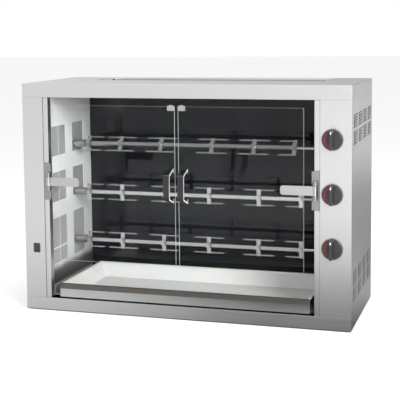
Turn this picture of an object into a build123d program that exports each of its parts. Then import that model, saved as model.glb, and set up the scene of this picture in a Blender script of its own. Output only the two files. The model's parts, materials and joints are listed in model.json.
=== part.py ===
"""Table-top electric rotisserie oven with three motor-driven spits, two glass doors and a drip tray.

Millimetres. +X is to the right, +Y to the back and +Z up. The origin lies on the table,
under the middle of the whole oven, handles and cable gland included.
"""
from build123d import *
from math import cos, hypot, pi, sin
import os

os.makedirs("parts", exist_ok=True)

# ---- Cabinet ----
body_width = 1120.0
body_depth = 470.0
body_height = 780.0
sheet = 1.5                # thickness of every sheet-steel panel
cap_height = 46.0          # skirt of the top cover
base_height = 45.0         # top edge of the base pan above the table
skirt_lift = 3.0           # lower edge of the base pan above the table
floor_lift = 12.0          # underside of the pan floor, where the feet are
flange = 18.0              # return flanges of the side panels

# ---- Front, from left to right ----
left_column = 74.0
right_column = 99.5
jamb_width = 18.0
jamb_return = 25.0

# ---- Roasting chamber ----
service_depth = 94.0       # rear glass to the back of the body
rear_glass_thickness = 4.0
rear_glass_lift = 69.0     # above the base pan
spit_depth = 220.0         # front plane to the spit axes
spit_lift = 165.5          # lowest spit above the base pan
spit_drop = 178.0          # highest spit below the top cover

# ---- Openings in the left liner: two columns of windows ----
window_front = 28.0        # front plane to the near column
window_rear = 72.0         # far column to the rear glass
window_post = 59.0         # between the columns
window_near_share = 0.55   # of the two columns' length, the near column's part
window_lift = 165.0        # lowest row above the base pan
window_drop = 104.0        # highest row below the top cover
window_bar = 57.0          # between the rows
window_rows = 3
foot_window_lift = 109.0   # above the base pan
foot_window_height = 50.0

# ---- Top recess ----
recess_right = 132.0       # from the right side of the body
recess_left = 162.0        # from the left side of the body
recess_rear = 24.0         # rear plane to its rear edge
recess_width = 184.0       # front to rear
recess_depth = 10.0
air_slots = 9              # in each row
air_slot_web = 25.7        # between neighbouring slots
air_slot_width = 8.0
air_slot_margin = 45.0     # recess edge to the middle of a row

# ---- Louvres in the right side ----
slot_length = 64.0
slot_height = 4.5
slot_pitch = 9.2
slots_per_cell = 5
cell_first = 47.0          # front plane to the first cell
cell_last = 35.0           # last cell to the rear plane
cell_columns = 4
low_cells = (43.0, 97.0)   # lower edges above the base pan
high_cells = (144.0, 90.0) # lower edges below the top cover

# ---- Rear cover ----
vent_columns = 6
vent_rows = 5
vent_side = 160.0          # side of the body to the middle of the first column
vent_length = 80.0
vent_height = 5.0
vent_pitch = 14.0
vent_drop = 110.0          # lowest row below the top cover
screws_per_side = 4
screw_margin = 30.0        # first and last screw from the ends of the side panel

# ---- Doors ----
glass_thickness = 4.0
glass_corner = 3.0
left_door_gap = 39.0       # jamb edge to the left door's glass
right_door_gap = 33.0
middle_gap = 12.4
door_top_gap = 26.0        # below the top cover
door_bottom_gap = 135.0    # above the base pan
left_hinge_offset = 2.0    # hinge axis, from the jamb edge towards +X
right_hinge_offset = 4.0
hinge_lift = 4.0           # hinge arms above the middle of the glass
arm_reach = 112.0          # hinge axis to the arm's free end
arm_height = 30.0
arm_thickness = 3.0
arm_corner = 9.0
arm_screw_inset = 14.0     # free end to the first screw
arm_screw_pitch = 41.0
knuckle_radius = 7.0
pin_radius = 3.0
pin_head = 5.0
pin_head_height = 2.5
bracket_height = 124.0
bracket_margin = 1.0       # bracket to the outer edge of the jamb
bracket_overhang = 8.0
bracket_thickness = 3.0
bracket_knuckle = 13.0
handle_width = 21.0
handle_reach = 48.0
handle_thickness = 4.0
handle_foot_half = 58.0
handle_grip_half = 40.0
handle_foot = 16.0
handle_bend = 9.0          # outer radius of the bends
handle_bend_inner = 6.0
left_handle_inset = 15.0   # free glass edge to the middle of the handle
right_handle_inset = 21.0
clip_width = 24.0
clip_drop = 13.5
clip_wall = 2.0
stud_width = 12.0
stud_height = 3.0

# ---- Drip tray ----
tray_gap_left = 34.0
tray_gap_right = 14.0
tray_bottom = 51.0
tray_rim_height = 95.5
tray_rear_gap = 4.0        # pan to the rear glass
tray_slope_side = 41.0
tray_slope_rear = 57.0
tray_rim = 8.0
tray_front_wall = 9.0      # front plane to the pan's front wall
fascia_bend = 79.0         # where the front plate starts to lean out
fascia_lean = 5.0
rail_shelf = 62.0
rail_height = 36.0
rail_thickness = 2.0

# ---- Spits ----
rod_side = 12.0
rod_tip_radius = 5.0
rod_shoulder = 2.0         # square part past the last fork
rod_overrun = 4.0          # round end past the bush
socket_radius = 13.0
socket_length = 42.0
socket_start = 6.0         # from the left liner
socket_bore_depth = 22.0
shaft_radius = 6.0
fork_width = 14.0
fork_hub = 20.0
fork_arm = 6.0
fork_arm_margin = 1.0      # bar past the outside of its prongs
prong_gap = 10.0           # between the points of neighbouring forks where they come nearest
prong_offset = 26.0
prong_radius = 2.0
prong_point = 0.5          # radius at the very end
prong_tip = 8.0
thumb_radius = 7.0
thumb_length = 8.0
thumb_shank = 3.0
first_fork = 59.0          # from the left liner
last_fork = 84.5           # from the right liner
# Forks sit where the cook clamps them: shares of the way from the first place to the last.
fork_shares = {
    "bottom": (0.0, 0.162, 0.364, 0.578, 0.808, 1.0),
    "middle": (0.0, 0.163, 0.373, 0.580, 0.810, 1.0),
    "top": (0.0, 0.159, 0.355, 0.596, 0.789, 0.971),
}
spit_turn = {"bottom": 0.0, "middle": 0.0, "top": -33.0}

# ---- Spit drive ----
bearing_length = 13.0
bearing_side = 40.0
bearing_plate = 4.0
bearing_boss = 13.0
bush_flange = 14.0
bush_body = 9.0
bush_plate = 3.0
bush_length = 8.0
sprocket_gap = 6.0
sprocket_width = 4.0
sprocket_tip = 20.0
sprocket_teeth = 12
tooth_gap = 3.4
chain_width = 5.0
chain_gap = 0.6
chain_thickness = 4.4
motor_shaft_radius = 5.0
gearbox = (42.0, 70.0, 82.0)
motor_can_radius = 29.0
motor_can_length = 78.0
motor_gap = 12.0           # sprocket to motor plate
motor_plate = 2.0
motor_shaft_depth = 22.0
motor_bore_end = 2.0       # beyond the shaft's inner end
gearbox_corner = 6.0
motor_plate_side = 6.0     # plate past the gearbox
motor_plate_top = 4.0
motor_plate_foot = 30.0

# ---- Controls ----
knob_radius = 32.0
knob_skirt = 6.0
knob_body_radius = 27.0
knob_body = 12.0
grip_width = 15.0
grip_height = 14.0
knob_gap = 1.0
knob_edge = 3.0
grip_edge = 3.0
knob_x = 61.0              # from the right side of the body
knob_lift = 219.0          # lowest knob above the base pan
knob_drop = 124.0          # highest knob below the top cover
knob_count = 3
regulator = (46.0, 38.0, 46.0)
regulator_shaft = 3.0
regulator_shaft_depth = 20.0
regulator_bore_end = 1.0   # beyond the shaft's inner end
switch_x = 42.0            # from the left side of the body
switch_lift = 171.5        # above the base pan
switch_width = 23.0
switch_height = 31.0
switch_bezel = 2.0
switch_rim = 3.0
switch_body_depth = 22.0
switch_floor = 8.0         # solid end of the switch body
rocker_tilt = 8.0
rocker_pin = 1.5
rocker_pin_length = 1.2
rocker_pin_hole = 1.5
rocker_depth = 4.0         # pivot behind the front plane
rocker_dish = 1.2
rocker_back = 2.0          # pivot to the back of the rocker
rocker_back_share = 0.55   # height of the back, as a share of the face

# ---- Heating behind the rear glass ----
element_gap = 8.0
element_radius = 4.0
element_pitch = 52.0
element_inset = 34.0
element_tail = 14.0
reflector_gap = 10.0
reflector_lift = 40.0      # above the base pan
reflector_drop = 6.0       # below the top cover
insulation = 20.0

# ---- Rear and small parts ----
gland_thread = 10.0
gland_nut = 14.0
gland_bore = 4.5
gland_reach = 14.0
gland_inside = 10.0        # thread behind the rear cover
gland_nut_height = 6.0
gland_x = 90.0             # from the right side of the body
gland_lift = 43.0          # above the base pan
terminal = (64.0, 22.0, 24.0)
terminal_rear = 58.0       # from the rear plane
screw_head = 4.0
screw_head_height = 2.2
screw_shank = 2.0
screw_length = 9.0
foot_radius = 19.0
foot_taper = 2.0
foot_inset = 42.0

# ---- Clearances ----
running = 0.05             # radial, shafts and pins that turn
fixed = 0.05               # radial, parts that are pressed or clamped
air = 0.5                  # between sliding or swinging faces
hole_gap = 2.0             # radial, holes that a shaft only passes through
near = 0.1                 # how close an edge lies to a plane that picks it

# ---- Places worked out from the sizes above ----
left = -body_width / 2
right = body_width / 2
front = (handle_reach + glass_thickness - gland_reach - body_depth) / 2
rear = front + body_depth
cap_edge = body_height - cap_height
jamb_setback = sheet + air                          # jamb faces behind the front plane
liner_left = left + left_column + jamb_width
liner_right = right - right_column - jamb_width
liner_front = front + jamb_setback + sheet + jamb_return
rear_glass = rear - service_depth
tray_rear = rear_glass - tray_rear_gap
recess_x = (left + recess_left, right - recess_right)
recess_y = (rear - recess_rear - recess_width, rear - recess_rear)
cell_pitch = (body_depth - cell_first - cell_last - slot_length) / (cell_columns - 1)
cell_rows = [base_height + lift for lift in low_cells] + [cap_edge - drop for drop in high_cells]
spit_y = front + spit_depth
spit_low = base_height + spit_lift
spit_high = cap_edge - spit_drop
spit_z = {"bottom": spit_low, "middle": (spit_low + spit_high) / 2, "top": spit_high}
fork_run = liner_right - last_fork - liner_left - first_fork
spit_forks = {spit: [liner_left + first_fork + share * fork_run for share in shares]
              for spit, shares in fork_shares.items()}
fork_spacing = min(after - before for places in spit_forks.values()
                   for before, after in zip(places, places[1:]))
prong_half = (fork_spacing - prong_gap) / 2
glass_front = front - glass_thickness
glass_bottom = base_height + door_bottom_gap
glass_top = cap_edge - door_top_gap
hinge_height = (glass_bottom + glass_top) / 2 + hinge_lift
hinge_y = front + jamb_setback - bracket_thickness - air - knuckle_radius
bearing_face = liner_left - 2 * sheet
sprocket_x = bearing_face - bearing_length - sprocket_gap - sprocket_width / 2
motor_z = (spit_z["bottom"] + spit_z["middle"]) / 2
motor_face = sprocket_x - sprocket_width / 2 - motor_gap
door_width = (liner_right - liner_left - left_door_gap - right_door_gap - middle_gap) / 2
switch_z = base_height + switch_lift
gland_z = base_height + gland_lift


def block(x, y, z):
    """A box given by its (low, high) limits on each axis."""
    size = [limits[1] - limits[0] for limits in (x, y, z)]
    middle = [(limits[0] + limits[1]) / 2 for limits in (x, y, z)]
    return Pos(*middle) * Box(*size)


def rod_x(x, y, z, radius):
    """A cylinder along X."""
    return Pos((x[0] + x[1]) / 2, y, z) * Rot(0, 90, 0) * Cylinder(radius, x[1] - x[0])


def rod_y(x, y, z, radius):
    """A cylinder along Y."""
    return Pos(x, (y[0] + y[1]) / 2, z) * Rot(90, 0, 0) * Cylinder(radius, y[1] - y[0])


def rod_z(x, y, z, radius):
    """A cylinder along Z."""
    return Pos(x, y, (z[0] + z[1]) / 2) * Cylinder(radius, z[1] - z[0])


def prism_x(outline, width):
    """An outline of (y, z) points carried from the plane X = 0 along +X."""
    return extrude(make_face(Plane.YZ * Polyline(*outline, close=True)), width, dir=(1, 0, 0))


def save(name, shape):
    """Write one sub-part."""
    export_step(shape, f"parts/{name}.step")


def group(pieces):
    """Separate like pieces kept in one node."""
    return Compound(children=list(pieces))


# ---------------------------------------------------------------- cabinet

def base_pan():
    """Low pan that carries everything: a skirt on four sides and a floor."""
    inside_x = (left + sheet, right - sheet)
    inside_y = (front + sheet, rear - sheet)
    pan = block((left, right), (front, rear), (skirt_lift, base_height))
    pan -= block(inside_x, inside_y, (floor_lift + sheet, base_height))
    pan -= block(inside_x, inside_y, (skirt_lift, floor_lift))
    return pan


def rubber_feet():
    """Four feet under the floor of the pan."""
    feet = []
    for x in (left + foot_inset, right - foot_inset):
        for y in (front + foot_inset, rear - foot_inset):
            foot = Pos(x, y, floor_lift / 2) * Cone(foot_radius - foot_taper, foot_radius, floor_lift)
            feet.append(foot)
    return group(feet)


def top_cover():
    """Cap with a skirt all round and a recess with air slots behind the middle."""
    cap = block((left, right), (front, rear), (cap_edge, body_height))
    cap -= block((left + sheet, right - sheet), (front + sheet, rear - sheet),
                 (cap_edge, body_height - sheet))
    x, y = recess_x, recess_y
    floor = body_height - recess_depth
    cap += block((x[0] - sheet, x[1] + sheet), (y[0] - sheet, y[1] + sheet), (floor - sheet, body_height))
    cap -= block(x, y, (floor, body_height))
    step = (x[1] - x[0]) / air_slots
    slot_half = air_slot_width / 2
    for row in (y[0] + air_slot_margin, y[1] - air_slot_margin):
        for place in range(air_slots):
            start = x[0] + place * step + air_slot_web / 2
            cap -= block((start, start + step - air_slot_web), (row - slot_half, row + slot_half),
                         (floor - sheet, floor))
    return cap


def side_panel(outer, inward):
    """Side sheet with a return flange at the rear; inward is +1 or -1 along X."""
    x = sorted((outer, outer + inward * sheet))
    panel = block(x, (front + sheet, rear), (base_height, cap_edge))
    flange_x = sorted((outer, outer + inward * (sheet + flange)))
    panel += block(flange_x, (rear - 2 * sheet, rear - sheet), (base_height, cap_edge))
    holes = cover_screw_places(outer, inward)
    for place in holes:
        panel -= rod_y(place[0], (rear - 3 * sheet, rear), place[1], screw_shank + fixed)
    return panel


def cover_screw_places(outer, inward):
    """(x, z) of the rear cover's screws along one side."""
    x = outer + inward * (sheet + flange / 2)
    low = base_height + screw_margin
    step = (cap_edge - screw_margin - low) / (screws_per_side - 1)
    return [(x, low + number * step) for number in range(screws_per_side)]


def left_side_panel():
    return side_panel(left, 1)


def right_side_panel():
    """Side sheet with two banks of louvre slots."""
    panel = side_panel(right, -1)
    for low in cell_rows:
        for column in range(cell_columns):
            y = front + cell_first + column * cell_pitch
            for slot in range(slots_per_cell):
                z = low + slot * slot_pitch
                panel -= block((right - sheet, right), (y, y + slot_length), (z, z + slot_height))
    return panel


def rear_cover():
    """Back sheet with vent slots and the gland hole."""
    cover = block((left + sheet, right - sheet), (rear - sheet, rear), (base_height, cap_edge))
    for outer, inward in ((left, 1), (right, -1)):
        for x, z in cover_screw_places(outer, inward):
            cover -= rod_y(x, (rear - sheet, rear), z, screw_shank + fixed)
    cover -= rod_y(right - gland_x, (rear - sheet, rear), gland_z, gland_thread + fixed)
    step = (body_width - 2 * vent_side) / (vent_columns - 1)
    for column in range(vent_columns):
        x = left + vent_side + column * step
        for row in range(vent_rows):
            z = cap_edge - vent_drop + row * vent_pitch
            slot_x = (x - vent_length / 2, x + vent_length / 2)
            cover -= block(slot_x, (rear - sheet, rear), (z, z + vent_height))
    return cover


def cover_screws():
    """Pan-head screws that hold the rear cover."""
    screws = []
    for outer, inward in ((left, 1), (right, -1)):
        for x, z in cover_screw_places(outer, inward):
            screw = rod_y(x, (rear, rear + screw_head_height), z, screw_head)
            screw += rod_y(x, (rear + screw_head_height - screw_length, rear), z, screw_shank)
            screws.append(screw)
    return group(screws)


def left_front_panel():
    """Plain column with the cut-out for the motor switch."""
    panel = block((left, left + left_column), (front, front + sheet), (base_height, cap_edge))
    half_x = switch_width / 2 - switch_rim / 2
    half_z = switch_height / 2 - switch_rim / 2
    x = left + switch_x
    panel -= block((x - half_x, x + half_x), (front, front + sheet), (switch_z - half_z, switch_z + half_z))
    return panel


def control_panel():
    """Right column with three shaft holes."""
    panel = block((right - right_column, right), (front, front + sheet), (base_height, cap_edge))
    for z in knob_heights():
        panel -= rod_y(right - knob_x, (front, front + sheet), z, regulator_shaft + hole_gap)
    return panel


def jamb(edge, outward):
    """Angle strip beside the opening; outward is the X direction away from it."""
    face_y = (front + jamb_setback, front + jamb_setback + sheet)
    x = sorted((edge, edge + outward * jamb_width))
    strip = block(x, face_y, (base_height, cap_edge))
    leg_x = sorted((edge, edge + outward * sheet))
    strip += block(leg_x, (face_y[0], liner_front), (base_height, cap_edge))
    return strip


def left_jamb():
    return jamb(liner_left, -1)


def right_jamb():
    return jamb(liner_right, 1)


def window_columns():
    """(front, rear) edges of the two columns of windows."""
    length = rear_glass - window_rear - front - window_front - window_post
    start = front + window_front
    end = start + window_near_share * length
    return (start, end), (end + window_post, rear_glass - window_rear)


def window_levels():
    """(lower, upper) edges of the rows of windows, the foot windows first."""
    low = base_height + window_lift
    height = (cap_edge - window_drop - low - (window_rows - 1) * window_bar) / window_rows
    foot = base_height + foot_window_lift
    rows = [low + row * (height + window_bar) for row in range(window_rows)]
    return [(foot, foot + foot_window_height)] + [(row, row + height) for row in rows]


def left_liner():
    """Chamber wall with two columns of windows and three shaft holes."""
    x = (liner_left - sheet, liner_left)
    liner = block(x, (liner_front, rear_glass), (base_height, cap_edge))
    for start, end in window_columns():
        for low, high in window_levels():
            liner -= block(x, (max(start, liner_front + sheet), end), (low, high))
    for z in spit_z.values():
        liner -= rod_x(x, spit_y, z, shaft_radius + hole_gap)
    return liner


def window_plate():
    """Satin plate behind the windows of the left liner."""
    x = (liner_left - 2 * sheet, liner_left - sheet)
    plate = block(x, (liner_front, rear_glass), (base_height, cap_edge))
    for z in spit_z.values():
        plate -= rod_x(x, spit_y, z, shaft_radius + hole_gap)
    return plate


def right_liner():
    """Plain chamber wall with the bush holes."""
    x = (liner_right, liner_right + sheet)
    liner = block(x, (liner_front, rear_glass), (base_height, cap_edge))
    for z in spit_z.values():
        liner -= rod_x(x, spit_y, z, bush_body + fixed)
    return liner


def chamber_ceiling():
    """Sheet that closes the chamber under the top cover."""
    y = (front + sheet, rear_glass + rear_glass_thickness)
    return block((liner_left - 2 * sheet, liner_right + sheet), y, (cap_edge, cap_edge + sheet))


def rear_glass_panel():
    """Black glass in front of the heating elements."""
    return block((liner_left, liner_right), (rear_glass, rear_glass + rear_glass_thickness),
                 (base_height + rear_glass_lift, cap_edge))


def lower_rear_strip():
    """Enamelled strip under the rear glass."""
    return block((liner_left, liner_right), (rear_glass, rear_glass + sheet),
                 (base_height, base_height + rear_glass_lift))


# ---------------------------------------------------------------- heating

def element_places():
    """Heights of the element runs, two for each spit."""
    return [z + side * element_pitch / 2 for z in spit_z.values() for side in (-1, 1)]


def element_y():
    return rear_glass + rear_glass_thickness + element_gap + element_radius


def heating_elements():
    """Three hairpin tubes, one behind each spit."""
    y = element_y()
    bend = element_pitch / 2
    x_bend = liner_left + element_inset + bend
    x_end = liner_right + element_tail
    hairpins = []
    for z in spit_z.values():
        tube = rod_x((x_bend, x_end), y, z - bend, element_radius)
        tube += rod_x((x_bend, x_end), y, z + bend, element_radius)
        ring = Rot(90, 0, 0) * Torus(bend, element_radius)
        ring -= block((0, 2 * bend), (-2 * bend, 2 * bend), (-2 * bend, 2 * bend))
        tube += Pos(x_bend, y, z) * ring
        hairpins.append(tube)
    return group(hairpins)


def element_reflector():
    """Bright tray behind the elements, with two drilled ears that hold them."""
    y_front = rear_glass + rear_glass_thickness
    y_back = element_y() + element_radius + reflector_gap
    x = (liner_left, liner_right)
    z = (base_height + reflector_lift, cap_edge - reflector_drop)
    reflector = block(x, (y_back, y_back + sheet), z)
    for ear in (x[0] + element_inset + element_pitch, x[1] - 2 * element_tail):
        reflector += block((ear, ear + sheet), (y_front, y_back), z)
        for run in element_places():
            reflector -= rod_x((ear, ear + sheet), element_y(), run, element_radius + fixed)
    return reflector


def insulation_board():
    """Mineral board between the reflector and the rear cover."""
    y = element_y() + element_radius + reflector_gap + sheet
    return block((liner_left, liner_right), (y, y + insulation),
                 (base_height + reflector_lift, cap_edge - reflector_drop))


# ---------------------------------------------------------------- spits and drive

def spit_turned(spit, shape):
    """Move a shape made about the X axis to its spit and turn it as the spit stands."""
    return Pos(0, spit_y, spit_z[spit]) * Rot(spit_turn[spit], 0, 0) * shape


def fork(x, sides):
    """Fork clamped on the rod at x: a bar with prongs towards the given sides, and its thumb screw."""
    arm_half = prong_offset + prong_radius + fork_arm_margin
    half = fork_width / 2
    bar = Box(fork_width, fork_hub, fork_hub) + Box(fork_width, fork_arm, 2 * arm_half)
    for z in (-prong_offset, prong_offset):
        for side in sides:
            straight = prong_half - prong_tip
            bar += Pos(side * straight / 2, 0, z) * Rot(0, 90, 0) * Cylinder(prong_radius, straight)
            tip = Cone(prong_radius, prong_point, prong_tip)
            bar += Pos(side * (straight + prong_tip / 2), 0, z) * Rot(0, 90 * side, 0) * tip
    bore = rod_side / 2 + fixed
    bar -= block((-half, half), (-bore, bore), (-bore, bore))
    bar -= rod_y(0, (-fork_hub, 0), 0, thumb_shank + fixed)
    screw = rod_y(0, (-fork_hub / 2 - air, -bore), 0, thumb_shank)
    screw += rod_y(0, (-fork_hub / 2 - air - thumb_length, -fork_hub / 2 - air), 0, thumb_radius)
    return [Pos(x, 0, 0) * bar, Pos(x, 0, 0) * screw]


def spit_fork_set(spit):
    """The forks on one spit: the end ones point inwards, the others both ways."""
    places = spit_forks[spit]
    pieces = []
    for number, place in enumerate(places):
        sides = (-1, 1)
        if number == 0:
            sides = (1,)
        if number == len(places) - 1:
            sides = (-1,)
        pieces += fork(place, sides)
    return group([spit_turned(spit, piece) for piece in pieces])


def socket_end():
    return liner_left + socket_start + socket_length


def spit_rod(spit):
    """Square rod with a round end that turns in the right bush."""
    square_end = spit_forks[spit][-1] + fork_width / 2 + rod_shoulder
    half = rod_side / 2
    rod = block((socket_end() - socket_bore_depth + air, square_end), (-half, half), (-half, half))
    rod += rod_x((square_end, liner_right + sheet + bush_length + rod_overrun), 0, 0, rod_tip_radius)
    return spit_turned(spit, rod)


def drive_hub(spit):
    """Socket, shaft and welded sprocket; the shaft runs in the left bearing."""
    start = liner_left + socket_start
    bore = rod_side / 2 + fixed
    socket = rod_x((start, socket_end()), 0, 0, socket_radius)
    socket += rod_x((sprocket_x - sprocket_width, start), 0, 0, shaft_radius)
    socket -= block((socket_end() - socket_bore_depth, socket_end()), (-bore, bore), (-bore, bore))
    return spit_turned(spit, socket + sprocket())


def sprocket():
    """Toothed disc about the X axis at the chain's plane."""
    disc = Cylinder(sprocket_tip, sprocket_width)
    pitch_radius = sprocket_tip - tooth_gap / 3
    for tooth in range(sprocket_teeth):
        angle = 2 * pi * tooth / sprocket_teeth
        hollow = Cylinder(tooth_gap, sprocket_width)
        disc -= Pos(pitch_radius * cos(angle), pitch_radius * sin(angle), 0) * hollow
    return Pos(sprocket_x, 0, 0) * Rot(0, 90, 0) * disc


def left_bearings():
    """Flanged bearings on the window plate."""
    bearings = []
    half = bearing_side / 2
    for z in spit_z.values():
        bearing = block((bearing_face - bearing_plate, bearing_face),
                        (spit_y - half, spit_y + half), (z - half, z + half))
        bearing += rod_x((bearing_face - bearing_length, bearing_face), spit_y, z, bearing_boss)
        bearing -= rod_x((bearing_face - bearing_length, bearing_face), spit_y, z, shaft_radius + running)
        bearings.append(bearing)
    return group(bearings)


def right_bushes():
    """Flanged bushes in the right liner."""
    bushes = []
    for z in spit_z.values():
        bush = rod_x((liner_right - bush_plate, liner_right), spit_y, z, bush_flange)
        bush += rod_x((liner_right, liner_right + sheet + bush_length), spit_y, z, bush_body)
        bush -= rod_x((liner_right - bush_plate, liner_right + sheet + bush_length), spit_y, z,
                      rod_tip_radius + running)
        bushes.append(bush)
    return group(bushes)


def chain_loop(radius, width):
    """Solid racetrack round the top and bottom sprockets."""
    low = spit_z["bottom"]
    high = spit_z["top"]
    x = (sprocket_x - width / 2, sprocket_x + width / 2)
    loop = block(x, (spit_y - radius, spit_y + radius), (low, high))
    loop += rod_x(x, spit_y, low, radius)
    loop += rod_x(x, spit_y, high, radius)
    return loop


def drive_chain():
    """Chain that ties the motor to the three spits, drawn as a closed band."""
    inner = sprocket_tip + chain_gap
    return chain_loop(inner + chain_thickness, chain_width) - chain_loop(inner, chain_width)


def motor_sprocket():
    """Output shaft of the gear motor with its welded sprocket."""
    x = (motor_face - motor_shaft_depth, sprocket_x + sprocket_width)
    return Pos(0, spit_y, motor_z) * (sprocket() + rod_x(x, 0, 0, motor_shaft_radius))


def gearmotor():
    """Gearbox with the motor can behind it."""
    depth, width, height = gearbox
    x = (motor_face - motor_plate - depth, motor_face - motor_plate)
    box = block(x, (spit_y - width / 2, spit_y + width / 2), (motor_z - height / 2, motor_z + height / 2))
    box = fillet(box.edges().filter_by(Axis.X), gearbox_corner)
    can_x = (x[0] + x[1]) / 2
    can = rod_y(can_x, (spit_y + width / 2, spit_y + width / 2 + motor_can_length), motor_z,
                min(motor_can_radius, depth / 2))
    bore = rod_x((motor_face - motor_shaft_depth - motor_bore_end, motor_face), spit_y, motor_z,
                 motor_shaft_radius + running)
    return box + can - bore


def motor_bracket():
    """Upright plate with a foot that carries the gear motor."""
    half = gearbox[1] / 2 + motor_plate_side
    x = (motor_face - motor_plate, motor_face)
    floor = floor_lift + sheet
    y = (spit_y - half, spit_y + half)
    bracket = block(x, y, (floor, motor_z + gearbox[2] / 2 + motor_plate_top))
    bracket += block((x[0] - motor_plate_foot, x[1]), y, (floor, floor + motor_plate))
    bracket -= rod_x(x, spit_y, motor_z, motor_shaft_radius + hole_gap)
    return bracket


# ---------------------------------------------------------------- doors

def door_side(side):
    """(inward, hinge x, hinge edge x, free edge x, handle x) of a door; inward points along its glass."""
    if side == "left":
        edge = liner_left + left_door_gap
        free = edge + door_width
        return 1, liner_left + left_hinge_offset, edge, free, free - left_handle_inset
    edge = liner_right - right_door_gap
    free = edge - door_width
    return -1, liner_right + right_hinge_offset, edge, free, free + right_handle_inset


def arm_screw_places(side):
    inward, hinge, edge, free, handle = door_side(side)
    first = hinge + inward * (arm_reach - arm_screw_inset)
    return [first, first - inward * arm_screw_pitch]


def handle_screw_heights():
    place = handle_foot_half - handle_foot / 2 - handle_thickness / 2
    return [hinge_height - place, hinge_height + place]


def door_glass(side):
    """Toughened sheet with holes for the arm and handle screws."""
    inward, hinge, edge, free, handle = door_side(side)
    glass = block(sorted((edge, free)), (glass_front, front), (glass_bottom, glass_top))
    glass = fillet(glass.edges().filter_by(Axis.Y), glass_corner)
    for x in arm_screw_places(side):
        glass -= rod_y(x, (glass_front, front), hinge_height, screw_shank + fixed)
    for z in handle_screw_heights():
        glass -= rod_y(handle, (glass_front, front), z, screw_shank + fixed)
    return glass


def hinge_arm(side):
    """Strap with a rolled knuckle that carries the glass."""
    inward, hinge, edge, free, handle = door_side(side)
    half = arm_height / 2
    z = (hinge_height - half, hinge_height + half)
    y = (glass_front - arm_thickness, glass_front)
    tip = hinge + inward * arm_reach
    strap = block(sorted((hinge, tip)), y, z)
    end = [line for line in strap.edges().filter_by(Axis.Y) if abs(line.center().X - tip) < near]
    strap = fillet(end, arm_corner)
    arm = strap + rod_z(hinge, hinge_y, z, knuckle_radius)
    arm -= rod_z(hinge, hinge_y, z, pin_radius + running)
    for x in arm_screw_places(side):
        arm -= rod_y(x, y, hinge_height, screw_shank + fixed)
    return arm


def hinge_brackets():
    """Bracket of each door hinge."""
    return group([hinge_bracket(side) for side in ("left", "right")])


def hinge_bracket(side):
    """Plate on the jamb with a knuckle above and one below the arm."""
    inward, hinge, edge, free, handle = door_side(side)
    jamb_edge = liner_left if side == "left" else liner_right
    x = sorted((jamb_edge + inward * bracket_overhang, jamb_edge - inward * (jamb_width - bracket_margin)))
    y = (front + jamb_setback - bracket_thickness, front + jamb_setback)
    half = bracket_height / 2
    bracket = block(x, y, (hinge_height - half, hinge_height + half))
    for low in (hinge_height + arm_height / 2 + air, hinge_height - arm_height / 2 - air - bracket_knuckle):
        z = (low, low + bracket_knuckle)
        bracket += rod_z(hinge, hinge_y, z, knuckle_radius)
        bracket += block((hinge - knuckle_radius, hinge + knuckle_radius), (hinge_y, y[1]), z)
        bracket -= rod_z(hinge, hinge_y, z, pin_radius + fixed)
    return bracket


def hinge_pins():
    """Two headed pins, one in each hinge."""
    reach = arm_height / 2 + air + bracket_knuckle
    pins = []
    for side in ("left", "right"):
        hinge = door_side(side)[1]
        low = hinge_height - reach
        high = hinge_height + reach
        pin = rod_z(hinge, hinge_y, (low, high), pin_radius)
        pin += rod_z(hinge, hinge_y, (low - pin_head_height, low), pin_head)
        pin += rod_z(hinge, hinge_y, (high, high + pin_head_height), pin_head)
        pins.append(pin)
    return group(pins)


def door_handle(side):
    """Bent strap handle standing off the glass on two turned-in feet."""
    handle = door_side(side)[4]
    slope = (handle_foot_half - handle_grip_half) / handle_reach
    shift = handle_thickness * hypot(1, slope)
    depth = handle_reach - handle_thickness
    outer = [(0, handle_foot_half), (-handle_reach, handle_grip_half),
             (-handle_reach, -handle_grip_half), (0, -handle_foot_half)]
    root = handle_foot_half - shift
    inner = [(0, root), (-depth, root - slope * depth), (-depth, slope * depth - root), (0, -root)]
    strap = prism_x(outer, handle_width) - prism_x(inner, handle_width)
    bends = [line for line in strap.edges().filter_by(Axis.X) if line.center().Y < near - handle_reach]
    strap = fillet(bends, handle_bend)
    bends = [line for line in strap.edges().filter_by(Axis.X)
             if abs(line.center().Y + depth) < near and abs(line.center().Z) < handle_grip_half]
    strap = fillet(bends, handle_bend_inner)
    for end in (-1, 1):
        z = sorted((end * (root - handle_foot + shift), end * (root + shift / 2)))
        strap += block((0, handle_width), (-handle_thickness, 0), z)
    strap = Pos(handle - handle_width / 2, glass_front, hinge_height) * strap
    for z in handle_screw_heights():
        strap -= rod_y(handle, (glass_front - handle_thickness, glass_front), z, screw_shank + fixed)
    return strap


def corner_clip(side):
    """Folded clip over the glass's top inner corner, with its stop stud."""
    inward, hinge, edge, free, handle = door_side(side)
    x = sorted((free, free - inward * clip_width))
    stud = glass_top + clip_wall
    clip = block(x, (glass_front - clip_wall, front + clip_wall), (glass_top - clip_drop, stud))
    clip -= block(x, (glass_front, front), (glass_top - clip_drop, glass_top))
    middle = (x[0] + x[1]) / 2
    clip += block((middle - stud_width / 2, middle + stud_width / 2), (glass_front, front),
                  (stud, stud + stud_height))
    return clip


def door_screws(side):
    """Arm screws from the front and handle screws from behind, each with its head or nut."""
    handle = door_side(side)[4]
    screws = []
    outer = glass_front - arm_thickness
    for x in arm_screw_places(side):
        screw = rod_y(x, (outer - screw_head_height, outer), hinge_height, screw_head)
        screw += rod_y(x, (outer, front), hinge_height, screw_shank)
        screw += rod_y(x, (front, front + screw_head_height), hinge_height, screw_head)
        screws.append(screw)
    for z in handle_screw_heights():
        screw = rod_y(handle, (front, front + screw_head_height), z, screw_head)
        screw += rod_y(handle, (glass_front - handle_thickness + air, front), z, screw_shank)
        screws.append(screw)
    return group(screws)


# ---------------------------------------------------------------- drip tray

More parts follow.
